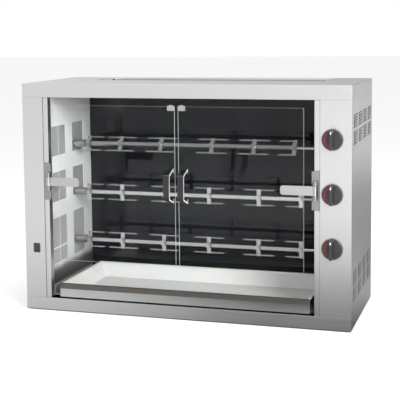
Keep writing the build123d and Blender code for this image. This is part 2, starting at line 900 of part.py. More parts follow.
def drip_tray():
    """Pan with sloped walls, a flat rim and a bent front plate that serves as the pull."""
    x = (liner_left + tray_gap_left, liner_right - tray_gap_right)
    y_front = front + tray_front_wall
    outer = tray_frustum(x, y_front, tray_rear, 0, tray_bottom)
    inner = tray_frustum(x, y_front, tray_rear, sheet, tray_bottom + sheet)
    rim = block(x, (y_front, tray_rear), (tray_rim_height - sheet, tray_rim_height))
    tray = outer + rim - inner
    tray += tray_fascia(x, y_front)
    return tray


def tray_frustum(x, y_front, y_rear, inset, low):
    """Tapered block between the pan's floor and its rim, drawn in by inset."""
    high = tray_rim_height
    side = tray_slope_side
    bottom_x = (x[0] + side + inset, x[1] - side - inset)
    bottom_y = (y_front + inset, y_rear - tray_slope_rear - inset)
    top_x = (x[0] + tray_rim + inset, x[1] - tray_rim - inset)
    top_y = (y_front + inset, y_rear - tray_rim - inset)
    faces = []
    for limits_x, limits_y, z in ((bottom_x, bottom_y, low), (top_x, top_y, high)):
        corners = [(limits_x[0], limits_y[0], z), (limits_x[1], limits_y[0], z),
                   (limits_x[1], limits_y[1], z), (limits_x[0], limits_y[1], z)]
        faces.append(make_face(Polyline(*corners, close=True)))
    return loft(faces)


def tray_fascia(x, y_front):
    """Front plate: upright below, leaning out above, and folded back to the pan."""
    top = tray_rim_height + sheet
    lip = front - fascia_lean
    outline = [(front, tray_bottom), (front, fascia_bend), (lip, top), (y_front + sheet, top),
               (y_front + sheet, top - sheet), (lip + 2 * sheet, top - sheet),
               (front + sheet, fascia_bend), (front + sheet, tray_bottom)]
    plate = Pos(x[0], 0, 0) * prism_x(outline, x[1] - x[0])
    plate += block(x, (y_front, y_front + sheet), (tray_rim_height - sheet, top))
    return plate


def tray_rails():
    """Two angles on the liners that the tray slides on."""
    high = tray_bottom - air
    low = high - rail_thickness
    y = (liner_front, tray_rear)
    rails = []
    for edge, inward in ((liner_left, 1), (liner_right, -1)):
        shelf = block(sorted((edge, edge + inward * rail_shelf)), y, (low, high))
        shelf += block(sorted((edge, edge + inward * rail_thickness)), y, (low, low + rail_height))
        rails.append(shelf)
    return group(rails)


# ---------------------------------------------------------------- controls

def knob_heights():
    low = base_height + knob_lift
    pitch = (cap_edge - knob_drop - low) / (knob_count - 1)
    return [low + number * pitch for number in range(knob_count)]


def knob(z):
    """Round knob with a raised grip bar, bored for the regulator shaft."""
    x = right - knob_x
    base = front - knob_gap
    body = rod_y(x, (base - knob_skirt, base), z, knob_radius)
    top = base - knob_skirt
    body += rod_y(x, (top - knob_body, top), z, knob_body_radius)
    body = fillet(body.edges().filter_by(GeomType.CIRCLE).sort_by(Axis.Y)[0], knob_edge)
    bar_top = top - knob_body - grip_height
    half = grip_width / 2
    bar = block((x - half, x + half), (bar_top, top), (z - knob_body_radius, z + knob_body_radius))
    bar = fillet(bar.edges().sort_by(Axis.Y)[:4], grip_edge)
    body += bar
    body -= rod_y(x, (top - knob_body, base), z, regulator_shaft + fixed)
    return body


def knob_shaft(z):
    """Spindle between the regulator and its knob."""
    x = right - knob_x
    y = (front - knob_gap - knob_skirt - knob_body + air, front + sheet + regulator_shaft_depth)
    return rod_y(x, y, z, regulator_shaft)


def regulators():
    """Three energy regulators on the back of the control panel."""
    width, depth, height = regulator
    x = right - knob_x
    boxes = []
    for z in knob_heights():
        body = block((x - width / 2, x + width / 2), (front + sheet, front + sheet + depth),
                     (z - height / 2, z + height / 2))
        bore_end = front + sheet + regulator_shaft_depth + regulator_bore_end
        body -= rod_y(x, (front + sheet, bore_end), z, regulator_shaft + running)
        boxes.append(body)
    return group(boxes)


def switch_housing():
    """Switch body with its bezel on the front column."""
    x = left + switch_x
    half_x = switch_width / 2
    half_z = switch_height / 2
    housing = block((x - half_x, x + half_x), (front - switch_bezel, front),
                    (switch_z - half_z, switch_z + half_z))
    neck_x = half_x - switch_rim / 2 - fixed
    neck_z = half_z - switch_rim / 2 - fixed
    housing += block((x - neck_x, x + neck_x), (front, front + switch_body_depth),
                     (switch_z - neck_z, switch_z + neck_z))
    window_x = half_x - switch_rim
    window_z = half_z - switch_rim
    pocket_y = (front - switch_bezel, front + switch_body_depth - switch_floor)
    housing -= block((x - window_x, x + window_x), pocket_y, (switch_z - window_z, switch_z + window_z))
    pin_x = window_x + rocker_pin_hole
    housing -= rod_x((x - pin_x, x + pin_x), front + rocker_depth, switch_z, rocker_pin + running)
    return housing


def rocker():
    """Rocker with its pivot pins, tipped with the top pressed in."""
    x = left + switch_x
    half_x = switch_width / 2 - switch_rim - air
    half_z = switch_height / 2 - switch_rim - 2 * air
    face = rocker_depth + switch_bezel
    back_z = half_z * rocker_back_share
    outline = [(-face, half_z), (rocker_dish - face, 0), (-face, -half_z),
               (rocker_back, -back_z), (rocker_back, back_z)]
    body = Pos(-half_x, 0, 0) * prism_x(outline, 2 * half_x)
    pin_x = half_x + rocker_pin_length
    body += rod_x((-pin_x, pin_x), 0, 0, rocker_pin)
    return Pos(x, front + rocker_depth, switch_z) * Rot(-rocker_tilt, 0, 0) * body


# ---------------------------------------------------------------- electrics

def terminal_block():
    """Block where the supply joins the inner wiring."""
    width, depth, height = terminal
    x = right - gland_x
    y = rear - terminal_rear
    floor = floor_lift + sheet
    return block((x - width / 2, x + width / 2), (y - depth, y), (floor, floor + height))


def cable_gland():
    """Gland for the supply lead in the rear cover."""
    x = right - gland_x
    inner_end = rear - sheet - gland_inside
    gland = rod_y(x, (inner_end, rear), gland_z, gland_thread)
    gland += rod_y(x, (rear, rear + gland_reach), gland_z, gland_nut)
    gland += rod_y(x, (rear - sheet - gland_nut_height, rear - sheet), gland_z, gland_nut)
    gland -= rod_y(x, (inner_end, rear + gland_reach), gland_z, gland_bore)
    return gland


cabinet_parts = {
    "base_pan": base_pan, "rubber_feet": rubber_feet, "top_cover": top_cover,
    "left_side_panel": left_side_panel, "right_side_panel": right_side_panel,
    "rear_cover": rear_cover, "cover_screws": cover_screws,
    "left_front_panel": left_front_panel, "control_panel": control_panel,
    "left_jamb": left_jamb, "right_jamb": right_jamb,
    "left_liner": left_liner, "window_plate": window_plate, "right_liner": right_liner,
    "chamber_ceiling": chamber_ceiling, "rear_glass": rear_glass_panel,
    "lower_rear_strip": lower_rear_strip, "heating_elements": heating_elements,
    "element_reflector": element_reflector, "insulation_board": insulation_board,
    "left_bearings": left_bearings, "right_bushes": right_bushes, "drive_chain": drive_chain,
    "gearmotor": gearmotor, "motor_bracket": motor_bracket, "tray_rails": tray_rails,
    "hinge_brackets": hinge_brackets, "hinge_pins": hinge_pins, "regulators": regulators,
    "switch_housing": switch_housing, "terminal_block": terminal_block, "cable_gland": cable_gland,
}
for name, make in cabinet_parts.items():
    save(name, make())

save("motor_sprocket", motor_sprocket())
save("drip_tray", drip_tray())
save("rocker", rocker())

for spit in spit_z:
    save(f"spit_rod_{spit}", spit_rod(spit))
    save(f"spit_forks_{spit}", spit_fork_set(spit))
    save(f"drive_hub_{spit}", drive_hub(spit))

for place, z in zip(("bottom", "middle", "top"), knob_heights()):
    save(f"knob_{place}", knob(z))
    save(f"knob_shaft_{place}", knob_shaft(z))

for side in ("left", "right"):
    save(f"door_glass_{side}", door_glass(side))
    save(f"hinge_arm_{side}", hinge_arm(side))
    save(f"door_handle_{side}", door_handle(side))
    save(f"corner_clip_{side}", corner_clip(side))
    save(f"door_screws_{side}", door_screws(side))
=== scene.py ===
"""Finished pieces, materials and studio of a table-top rotisserie oven, built round its CAD frame."""

import json
from math import cos, pi, radians, sin, tau

import bmesh
import bpy
from bpy.props import FloatProperty, FloatVectorProperty, IntProperty, PointerProperty
from bpy.types import Operator, Panel, PropertyGroup
from mathutils import Euler, Matrix, Vector


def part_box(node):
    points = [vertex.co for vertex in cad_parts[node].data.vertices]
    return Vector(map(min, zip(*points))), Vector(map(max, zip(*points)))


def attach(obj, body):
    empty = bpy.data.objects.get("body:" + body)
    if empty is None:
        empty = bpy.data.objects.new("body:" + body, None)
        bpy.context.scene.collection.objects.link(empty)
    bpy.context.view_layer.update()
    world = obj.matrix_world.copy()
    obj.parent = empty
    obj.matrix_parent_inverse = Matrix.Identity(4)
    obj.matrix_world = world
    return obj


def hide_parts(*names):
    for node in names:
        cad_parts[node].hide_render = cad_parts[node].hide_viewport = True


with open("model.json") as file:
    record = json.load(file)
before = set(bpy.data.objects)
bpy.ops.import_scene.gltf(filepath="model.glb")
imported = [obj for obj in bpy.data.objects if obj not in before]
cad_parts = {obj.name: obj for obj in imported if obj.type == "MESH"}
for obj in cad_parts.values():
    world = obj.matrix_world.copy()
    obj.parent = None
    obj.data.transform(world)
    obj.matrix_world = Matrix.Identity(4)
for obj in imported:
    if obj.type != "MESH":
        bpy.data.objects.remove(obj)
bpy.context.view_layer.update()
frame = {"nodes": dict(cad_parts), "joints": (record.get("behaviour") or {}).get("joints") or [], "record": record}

bl_info = {
    "name": "Rotisserie oven",
    "version": (1, 0, 0),
    "blender": (4, 5, 0),
    "location": "3D View > Sidebar > Oven",
    "description": "Builds a rotisserie oven with spits, glass doors and a drip tray",
    "category": "Object",
}

RECORD = frame["record"]
NODE_BODY = {node: body for body, nodes in RECORD["behaviour"]["bodies"].items() for node in nodes}
JOINTS = {joint["name"]: joint for joint in frame["joints"]}
SIDES = ("left", "right")
LEVELS = ("bottom", "middle", "top")
MM = 0.001
SMOOTH_ANGLE = radians(35)
FLAT_ANGLE = radians(0.6)
BEVEL_ANGLE = radians(30)
WELD = 0.001 * MM

GRAIN_X = (4.0, 700.0, 700.0)
GRAIN_Y = (700.0, 4.0, 700.0)
GRAIN_Z = (700.0, 700.0, 4.0)
FAT = (0.30, 0.17, 0.07, 1.0)
# colour of the painted shade in seams and tight corners
PAINTED_SEAM_SHADE = (0.05, 0.05, 0.05, 1.0)
# near-black colour for the band at the foot of the liner
LOW_BAND_DARK = (0.02, 0.018, 0.016, 1.0)
WHITE = (1.0, 1.0, 1.0, 1.0)
SHADE = (0.18, 0.18, 0.18, 1.0)


# ---- settings

def colour(name, about, default):
    return FloatVectorProperty(name=name, description=about, default=default, subtype="COLOR", min=0, max=1)


def length(name, about, default):
    return FloatProperty(name=name, description=about, default=default, unit="LENGTH", min=0)


class OvenFinish(PropertyGroup):
    """Colours of the oven's finishes."""
    steel: colour("Steel", "Brushed steel of the casing", (0.64, 0.64, 0.64))
    liner: colour("Liner", "Bright steel inside the chamber", (0.80, 0.80, 0.79))
    tray: colour("Tray", "Satin steel of the drip tray", (0.78, 0.78, 0.77))
    window: colour("Window plate", "Dull plate behind the liner's windows", (0.34, 0.34, 0.34))
    polished: colour("Polished steel", "Spits, forks and hinge arms", (0.50, 0.50, 0.50))
    # dark tint of the tray lip is a painted reflection; its fat film is a real stain
    stained: colour("Stained steel", "Tray lip faces painted dark as a reflection, with baked fat", (0.10, 0.10, 0.10))
    # handle flats are painted dark as a reflection, and their side faces painted bright as a highlight
    dark_polish: colour("Dark polish", "Flats of the door handles", (0.055, 0.057, 0.056))
    cut_edge: colour("Cut edge", "Edges of the door handles", (0.92, 0.92, 0.88))
    bracket: colour("Bracket", "Hinge brackets", (0.30, 0.30, 0.30))
    black_glass: colour("Black glass", "Body colour of the rear glass", (0.003, 0.0035, 0.006))
    clear_glass: colour("Door glass", "Tint of the door glass", (0.97, 0.985, 0.98))
    glass_edge: colour("Glass edge", "Ground edge of the door glass", (0.62, 0.68, 0.66))
    plastic: colour("Plastic", "Knobs and switch", (0.022, 0.022, 0.024))
    mark: colour("Index", "White index on each knob", (0.85, 0.85, 0.83))
    heat_mark: colour("Heat mark", "Red field on each knob", (0.12, 0.015, 0.012))


class OvenDetail(PropertyGroup):
    """Sizes of the fine detail."""
    edge: length("Edge radius", "Rounding of sheet-metal edges", 0.7 * MM)
    hood_depth: length("Louvre depth", "How far a louvre stands off its sheet", 2.6 * MM)
    knurls: IntProperty(name="Knurls", description="Ribs round each thumb screw", default=18, min=3)
    foot_ribs: IntProperty(name="Foot ribs", description="Ribs round each rubber foot", default=28, min=3)
    chain_pitch: length("Chain pitch", "Distance between chain pins", 9.525 * MM)


class OvenStage(PropertyGroup):
    """Floor, lights and camera."""
    floor: colour("Floor", "Colour of the floor", (0.93, 0.93, 0.93))
    sky: FloatProperty(name="Surround", description="Brightness of the white surround", default=1.0, min=0)
    top_power: FloatProperty(name="Top light", description="Power of the overhead soft box",
                             default=30, min=0, unit="POWER")
    front_power: FloatProperty(name="Front light", description="Power of the front soft box",
                               default=110, min=0, unit="POWER")
    lens: FloatProperty(name="Lens", description="Camera lens", default=95.94, min=1, unit="CAMERA")


GROUPS = {"oven_finish": OvenFinish, "oven_detail": OvenDetail, "oven_stage": OvenStage}


# ---- node helpers

def add(tree, kind, settings=None, **inputs):
    """Add a node. An underscore in an input's name is a space, and a socket given as a value is linked."""
    node = tree.nodes.new(kind)
    for key, value in (settings or {}).items():
        setattr(node, key, value)
    for key, value in inputs.items():
        put(tree, node.inputs[key.replace("_", " ")], value)
    return node


def put(tree, socket, value):
    if isinstance(value, bpy.types.NodeSocket):
        tree.links.new(value, socket)
    else:
        socket.default_value = value


def maths(tree, operation, first, second):
    node = tree.nodes.new("ShaderNodeMath")
    node.operation = operation
    put(tree, node.inputs[0], first)
    put(tree, node.inputs[1], second)
    return node.outputs[0]


def times(tree, first, second):
    return maths(tree, "MULTIPLY", first, second)


def plus(tree, first, second):
    return maths(tree, "ADD", first, second)


def ramp(tree, value, start, end, first=0.0, last=1.0, kind="SMOOTHSTEP"):
    """Turn a value between start and end into one between first and last."""
    node = add(tree, "ShaderNodeMapRange", {"interpolation_type": kind}, Value=value, From_Min=start,
               From_Max=end, To_Min=first, To_Max=last)
    return node.outputs[0]


def noise(tree, place, scale, detail, **inputs):
    return add(tree, "ShaderNodeTexNoise", Vector=place, Scale=scale, Detail=detail, **inputs).outputs[0]


def object_place(tree):
    return add(tree, "ShaderNodeTexCoord").outputs["Object"]


def height_of(tree, place):
    return add(tree, "ShaderNodeSeparateXYZ", Vector=place).outputs["Z"]


def once(store, name):
    """Make a builder build its node group or material once, under this name, and find it after that."""
    def wrap(build):
        return lambda: getattr(bpy.data, store).get(name) or build(name)
    return wrap


def group_tree(name, inputs, outputs, kind="ShaderNodeTree"):
    """A node group with (name, type, default) inputs and (name, type) outputs."""
    tree = bpy.data.node_groups.new(name, kind)
    for label, socket, default in inputs:
        made = tree.interface.new_socket(label, in_out="INPUT", socket_type="NodeSocket" + socket)
        if default is not None:
            made.default_value = default
    for label, socket in outputs:
        tree.interface.new_socket(label, in_out="OUTPUT", socket_type="NodeSocket" + socket)
    return tree, tree.nodes.new("NodeGroupInput"), tree.nodes.new("NodeGroupOutput")


# ---- shader groups

@once("node_groups", "Brushed grain")
def grain_group(name):
    """Fine brushing lines: noise on Object coordinates, stretched along the brushing."""
    tree, start, end = group_tree(name, [("Stretch", "Vector", GRAIN_X)],
                                  [("Grain", "Float"), ("Streaks", "Float")])
    fine = add(tree, "ShaderNodeVectorMath", {"operation": "MULTIPLY"})
    put(tree, fine.inputs[0], object_place(tree))
    put(tree, fine.inputs[1], start.outputs["Stretch"])
    put(tree, end.inputs["Grain"], noise(tree, fine.outputs[0], 1.0, 3.0, Roughness=0.6))
    coarse = add(tree, "ShaderNodeVectorMath", {"operation": "SCALE"}, Scale=0.16)
    put(tree, coarse.inputs[0], fine.outputs[0])
    put(tree, end.inputs["Streaks"], noise(tree, coarse.outputs[0], 1.0, 2.0))
    return tree


@once("node_groups", "Wipe marks")
def smudge_group(name):
    """Soft patches left by wiping and handling."""
    inputs = [("Scale", "Float", 7.0), ("Amount", "Float", 0.5)]
    tree, start, end = group_tree(name, inputs, [("Mask", "Float")])
    patches = noise(tree, object_place(tree), start.outputs["Scale"], 4.0, Roughness=0.55, Distortion=0.6)
    spread = ramp(tree, patches, 0.42, 0.68)
    put(tree, end.inputs["Mask"], times(tree, spread, start.outputs["Amount"]))
    return tree


@once("node_groups", "Baked film")
def film_group(name):
    """Thin brown film of baked fat that thickens towards the floor of the chamber."""
    tree, start, end = group_tree(name, [("Amount", "Float", 0.2)], [("Mask", "Float")])
    place = object_place(tree)
    low = ramp(tree, height_of(tree, place), 0.05, 0.6, 1.0, 0.15, "LINEAR")
    spots = noise(tree, place, 38.0, 5.0, Roughness=0.7)
    film = times(tree, low, ramp(tree, spots, 0.45, 0.75, 0.2, 1.0, "LINEAR"))
    put(tree, end.inputs["Mask"], times(tree, film, start.outputs["Amount"]))
    return tree


@once("node_groups", "Seam shade")
def seam_group(name):
    """Painted shade in seams and tight corners: ambient occlusion darkens the colour there."""
    tree, _start, end = group_tree(name, [], [("Mask", "Float")])
    openness = add(tree, "ShaderNodeAmbientOcclusion", {"samples": 12}, Distance=8 * MM)
    put(tree, end.inputs["Mask"], ramp(tree, openness.outputs["AO"], 0.45, 0.92, 1.0, 0.0))
    return tree


def placed(tree, group, **inputs):
    """A shader group's node, with its inputs set."""
    node = tree.nodes.new("ShaderNodeGroup")
    node.node_tree = group
    for key, value in inputs.items():
        put(tree, node.inputs[key], value)
    return node


def mask(tree, group, **inputs):
    return placed(tree, group, **inputs).outputs["Mask"]


def blended(tree, factor, first, second):
    """Colour between first and second."""
    node = add(tree, "ShaderNodeMix", {"data_type": "RGBA"})
    put(tree, node.inputs["Factor"], factor)
    put(tree, node.inputs["A"], first)
    put(tree, node.inputs["B"], second)
    return node.outputs["Result"]


def rgba(values, share=1.0):
    return (*(value * share for value in values), 1.0)


def for_gloss(tree, plain, mirrored):
    """The plain colour, and another one to rays that a glossy surface sends out."""
    glossy = add(tree, "ShaderNodeLightPath").outputs["Is Glossy Ray"]
    return blended(tree, glossy, plain, mirrored)


# ---- materials

def tint(name):
    """A colour from the finish settings."""
    return getattr(bpy.context.scene.oven_finish, name)


def material(name, **values):
    """A material with one Principled shader whose plain values are set on its own sockets."""
    made = bpy.data.materials.new(name)
    made.use_nodes = True
    tree = made.node_tree
    tree.nodes.clear()
    shader = add(tree, "ShaderNodeBsdfPrincipled", **values)
    add(tree, "ShaderNodeOutputMaterial", Surface=shader.outputs[0])
    return made, tree, shader


def brushed_steel(name, colour_, roughness, metallic=1.0, stretch=GRAIN_X, film=0.0, seams=False):
    """Brushed sheet: grain and streaks in roughness, bump and a trace of colour."""
    if name in bpy.data.materials:
        return bpy.data.materials[name]
    made, tree, shader = material(name, Metallic=metallic)
    grain = placed(tree, grain_group(), Stretch=stretch)
    smudge = mask(tree, smudge_group(), Scale=6.0, Amount=0.35)
    shade = times(tree, maths(tree, "SUBTRACT", grain.outputs["Streaks"], 0.5), 0.10)
    rough = plus(tree, times(tree, smudge, 0.07), roughness)
    put(tree, shader.inputs["Roughness"], plus(tree, rough, shade))
    tone = times(tree, grain.outputs["Grain"], 0.25)
    surface = blended(tree, tone, rgba(colour_), rgba(colour_, 0.86))
    surface = blended(tree, times(tree, smudge, 0.25), surface, rgba(colour_, 0.85))
    if film:
        surface = blended(tree, mask(tree, film_group(), Amount=film), surface, FAT)
    # painted shade: the colour goes dark in seams and tight corners
    if seams:
        surface = blended(tree, mask(tree, seam_group()), surface, PAINTED_SEAM_SHADE)
    put(tree, shader.inputs["Base Color"], surface)
    bump = add(tree, "ShaderNodeBump", Height=grain.outputs["Grain"], Strength=0.10, Distance=0.0002)
    put(tree, shader.inputs["Normal"], bump.outputs[0])
    return made


def casing_steel(stretch):
    axis = "xyz"[stretch.index(min(stretch))]
    return brushed_steel("casing_steel_" + axis, tint("steel"), 0.36, stretch=stretch, seams=True)


@once("materials", "liner_steel")
def liner_steel(name):
    """Bright satin sheet, darker towards the bottom and near black in a band just above the tray."""
    made = brushed_steel(name, tint("liner"), 0.38, 0.25, GRAIN_Z, film=0.06)
    tree = made.node_tree
    shader = next(node for node in tree.nodes if node.type == "BSDF_PRINCIPLED")
    before_darkening = shader.inputs["Base Color"].links[0].from_socket
    place = object_place(tree)
    ragged = times(tree, noise(tree, place, 14.0, 4.0), 0.02)
    height = plus(tree, height_of(tree, place), ragged)
    # darker towards the bottom, and near black below about 0.15 m
    lower_darkening = ramp(tree, height, 0.14, 0.46, 0.55, 0.0, "LINEAR")
    surface = blended(tree, lower_darkening, before_darkening, rgba(tint("liner"), 0.42))
    surface = blended(tree, ramp(tree, height, 0.135, 0.165, 0.93, 0.0), surface, LOW_BAND_DARK)
    put(tree, shader.inputs["Base Color"], surface)
    return made


def tray_steel():
    return brushed_steel("tray_steel", tint("tray"), 0.45, 0.25, GRAIN_X, film=0.03)


def stained_steel():
    """Tray lip steel: painted dark as the reflection of the dark below the lip, with a film of baked fat."""
    return brushed_steel("stained_steel", tint("stained"), 0.42, 0.6, GRAIN_X, film=0.25)


def dark_polish():
    """Flats of the strap handles: polished steel painted near black as a dark reflection."""
    return brushed_steel("dark_polish", tint("dark_polish"), 0.2, 1.0, GRAIN_X)


def cut_edge():
    """Side faces of the strap handles, painted bright as a highlight."""
    return brushed_steel("cut_edge", tint("cut_edge"), 0.5, 0.1, GRAIN_Y)


def bracket_steel():
    return brushed_steel("bracket_steel", tint("bracket"), 0.4, 0.9, GRAIN_Z, seams=True)


def dull_steel():
    return brushed_steel("dull_steel", tint("window"), 0.5, 0.3, GRAIN_Z, film=0.10)


def spit_steel():
    return brushed_steel("spit_steel", tint("polished"), 0.24, 1.0, GRAIN_X, film=0.12)


def fitting_steel():
    return brushed_steel("fitting_steel", tint("polished"), 0.28, 1.0, GRAIN_X)


def zinc_steel():
    return brushed_steel("zinc_plated_steel", (0.52, 0.53, 0.55), 0.4, 1.0, (90.0, 90.0, 90.0))


def socket_steel():
    """Turned sockets, browned by heat."""
    return brushed_steel("socket_steel", (0.30, 0.29, 0.28), 0.3, 1.0, GRAIN_X, film=0.2)


@once("materials", "rear_glass_black")
def black_glass(name):
    """Glossy opaque glass with faint wipe marks."""
    made, tree, shader = material(name, Metallic=0.0, IOR=1.37, Base_Color=rgba(tint("black_glass")))
    smudge = mask(tree, smudge_group(), Scale=4.0, Amount=0.05)
    put(tree, shader.inputs["Roughness"], plus(tree, smudge, 0.045))
    return made


@once("materials", "door_glass_clear")
def clear_glass(name):
    """Door glass: rays from lamps pass straight through, so that the chamber is lit."""
    made, tree, shader = material(name, Base_Color=rgba(tint("clear_glass")), Metallic=0.0, IOR=1.12,
                                  Transmission_Weight=1.0)
    put(tree, shader.inputs["Roughness"], mask(tree, smudge_group(), Scale=9.0, Amount=0.03))
    clear = add(tree, "ShaderNodeBsdfTransparent", Color=(0.93, 0.95, 0.94, 1.0))
    ray = add(tree, "ShaderNodeLightPath").outputs["Is Shadow Ray"]
    mixed = add(tree, "ShaderNodeMixShader")
    put(tree, mixed.inputs[0], ray)
    put(tree, mixed.inputs[1], shader.outputs[0])
    put(tree, mixed.inputs[2], clear.outputs[0])
    put(tree, tree.nodes["Material Output"].inputs["Surface"], mixed.outputs[0])
    return made


def ground_edge():
    """Ground and polished edge of the door glass."""
    return moulded("ground_glass_edge", tint("glass_edge"), 0.28, 220.0, 0.02)


def moulded(name, colour_, roughness, scale=900.0, strength=0.06, metallic=0.0, specular=0.5):
    """Moulded or cast surface with a fine even texture."""
    if name in bpy.data.materials:
        return bpy.data.materials[name]
    made, tree, shader = material(name, Metallic=metallic, IOR=1.48, Specular_IOR_Level=specular)
    texture = noise(tree, object_place(tree), scale, 2.0)
    smudge = mask(tree, smudge_group(), Scale=30.0, Amount=0.25)
    put(tree, shader.inputs["Base Color"], blended(tree, smudge, rgba(colour_), rgba(colour_, 1.25)))
    rough = plus(tree, times(tree, smudge, 0.12), roughness)
    put(tree, shader.inputs["Roughness"], rough)
    bump = add(tree, "ShaderNodeBump", Height=texture, Strength=strength, Distance=0.0003)
    put(tree, shader.inputs["Normal"], bump.outputs[0])
    return made


def knob_plastic():
    return moulded("knob_plastic", tint("plastic"), 0.34)


def switch_plastic():
    return moulded("switch_plastic", (0.045, 0.045, 0.048), 0.42)


def rubber():
    return moulded("foot_rubber", (0.018, 0.018, 0.018), 0.75, 1400.0, 0.12)


def enamel():
    return moulded("strip_enamel", (0.002, 0.002, 0.002), 0.6, 500.0, 0.05, specular=0.12)


def motor_paint():
    return moulded("motor_hammer_paint", (0.06, 0.065, 0.07), 0.45, 700.0, 0.08)


def oxidised():
    return moulded("oxidised_sheath", (0.05, 0.045, 0.04), 0.55, 800.0, 0.1, 0.8)


def bronze():
    return moulded("sintered_bronze", (0.42, 0.27, 0.11), 0.42, 1800.0, 0.12, 1.0)


def mineral_fibre():
    return moulded("mineral_fibre", (0.60, 0.56, 0.46), 0.95, 260.0, 0.5)


# ---- mesh helpers

def new_object(name, mesh):
    made = bpy.data.objects.new(name, mesh)
    bpy.context.scene.collection.objects.link(made)
    return made


def from_bmesh(name, work, finishes):
    """Turn a bmesh into an object with these materials."""
    mesh = bpy.data.meshes.new(name)
    work.to_mesh(mesh)
    work.free()
    made = new_object(name, mesh)
    for finish in finishes:
        mesh.materials.append(finish)
    return made


def closed(name, work, *finishes):
    """An object from a given shape, with its faces turned outwards."""
    bmesh.ops.recalc_face_normals(work, faces=work.faces)
    return from_bmesh(name, work, finishes)


def settle(piece):
    """Apply the piece's modifiers."""
    bpy.context.view_layer.update()
    graph = bpy.context.evaluated_depsgraph_get()
    mesh = bpy.data.meshes.new_from_object(piece.evaluated_get(graph))
    old = piece.data
    piece.modifiers.clear()
    piece.data = mesh
    mesh.name = piece.name
    if old.users == 0:
        bpy.data.meshes.remove(old)
    return piece


def merged(node):
    """The node's surface as a bmesh with shared corners and flat faces in one piece."""
    work = bmesh.new()
    work.from_mesh(frame["nodes"][node].data)
    bmesh.ops.remove_doubles(work, verts=work.verts, dist=WELD)
    bmesh.ops.dissolve_limit(work, angle_limit=FLAT_ANGLE, verts=work.verts, edges=work.edges)
    return work


def rounded(piece, width, segments=2):
    """Round the edges and keep the flats flat."""
    bevel = piece.modifiers.new("Rounded edges", "BEVEL")
    bevel.width = width
    bevel.segments = segments
    bevel.limit_method = "ANGLE"
    bevel.angle_limit = BEVEL_ANGLE
    bevel.use_clamp_overlap = True
    piece.data.shade_smooth()
    normals = piece.modifiers.new("Flat faces", "WEIGHTED_NORMAL")
    normals.keep_sharp = True
    return settle(piece)


def stand_for(piece, *nodes):
    """The piece rides with these nodes' body and is shown in their place."""
    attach(piece, NODE_BODY[nodes[0]])
    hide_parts(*nodes)
    return piece


def go_with(piece, node):
    """The piece is an addition to this node: it rides with it."""
    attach(piece, NODE_BODY[node])
    return piece


def finished(node, finish, width, segments=2):
    """A finished copy of a node: rounded edges and a real material."""
    piece = from_bmesh(node + "_piece", merged(node), [finish])
    rounded(piece, width, segments)
    return stand_for(piece, node)


def dress(node, finish):
    """Give a node that stays as it is its material."""
    mesh = frame["nodes"][node].data
    mesh.materials.clear()
    mesh.materials.append(finish)


def islands(node):
    """(lowest corner, highest corner) of each separate solid in a node."""
    work = bmesh.new()
    work.from_mesh(frame["nodes"][node].data)
    bmesh.ops.remove_doubles(work, verts=work.verts, dist=WELD)
    left_over = set(work.verts)
    found = []
    while left_over:
        reached = {left_over.pop()}
        front = list(reached)
        while front:
            for edge in front.pop().link_edges:
                for corner in edge.verts:
                    if corner in left_over:
                        left_over.discard(corner)
                        reached.add(corner)
                        front.append(corner)
        low = Vector([min(v.co[axis] for v in reached) for axis in range(3)])
        high = Vector([max(v.co[axis] for v in reached) for axis in range(3)])
        found.append((low, high))
    work.free()
    return sorted(found, key=lambda pair: tuple(round(value, 5) for value in pair[0]))


def cuboid(work, low, high, place=None):
    """Box between two corners."""
    middle = (Vector(low) + Vector(high)) / 2
    size = Vector(high) - Vector(low)
    matrix = Matrix.Translation(middle) @ Matrix.Diagonal((*size, 1.0))
    if place is not None:
        matrix = place @ matrix
    return bmesh.ops.create_cube(work, size=1.0, matrix=matrix)["verts"]


def skin(work, lower, upper, wrap=False):
    """Faces between two rows of points."""
    count = len(lower)
    for step in range(count if wrap else count - 1):
        after = (step + 1) % count
        work.faces.new((lower[step], lower[after], upper[after], upper[step]))


def lathe(work, profile, place, segments=64, finish=0):
    """Turn (radius, height) points round the local Z axis and put the result at place."""
    rings = []
    for radius, height in profile:
        if radius < 1e-7:
            rings.append([work.verts.new(place @ Vector((0, 0, height)))])
            continue
        ring = []
        for step in range(segments):
            angle = tau * step / segments
            ring.append(work.verts.new(place @ Vector((radius * cos(angle), radius * sin(angle), height))))
        rings.append(ring)
    for lower, upper in zip(rings, rings[1:]):
        for step in range(segments):
            after = (step + 1) % segments
            corners = [lower[step % len(lower)], lower[after % len(lower)],
                       upper[after % len(upper)], upper[step % len(upper)]]
            corners = list(dict.fromkeys(corners))
            if len(corners) > 2:
                work.faces.new(corners).material_index = finish
    return rings


def facing(x, y, z, turn=Matrix()):
    """Matrix at a place that turns local Z to the front, and then by the turn."""
    return Matrix.Translation((x, y, z)) @ turn @ Matrix.Rotation(radians(90), 4, "X")


def facing_back(x, y, z):
    return Matrix.Translation((x, y, z)) @ Matrix.Rotation(radians(-90), 4, "X")


def centre_of(pair):
    return (pair[0] + pair[1]) / 2


# ---- repeating pieces

def copies(tree, points, shape, **inputs):
    """A copy of the shape on each point."""
    return add(tree, "GeometryNodeInstanceOnPoints", Points=points, Instance=shape, **inputs).outputs[0]


def repeat_tree(name, *inputs):
    """A tree that takes a shape, these inputs and a material."""
    inputs = [("Geometry", "Geometry", None), *inputs, ("Material", "Material", None)]
    tree, start, end = group_tree(name, inputs, [("Geometry", "Geometry")], "GeometryNodeTree")
    return tree, start.outputs, end


def finish_tree(tree, geometry, given, end):
    """End every tree with real faces and a material."""
    real = add(tree, "GeometryNodeRealizeInstances", Geometry=geometry).outputs[0]
    painted = add(tree, "GeometryNodeSetMaterial", Geometry=real, Material=given["Material"])
    put(tree, end.inputs["Geometry"], painted.outputs[0])


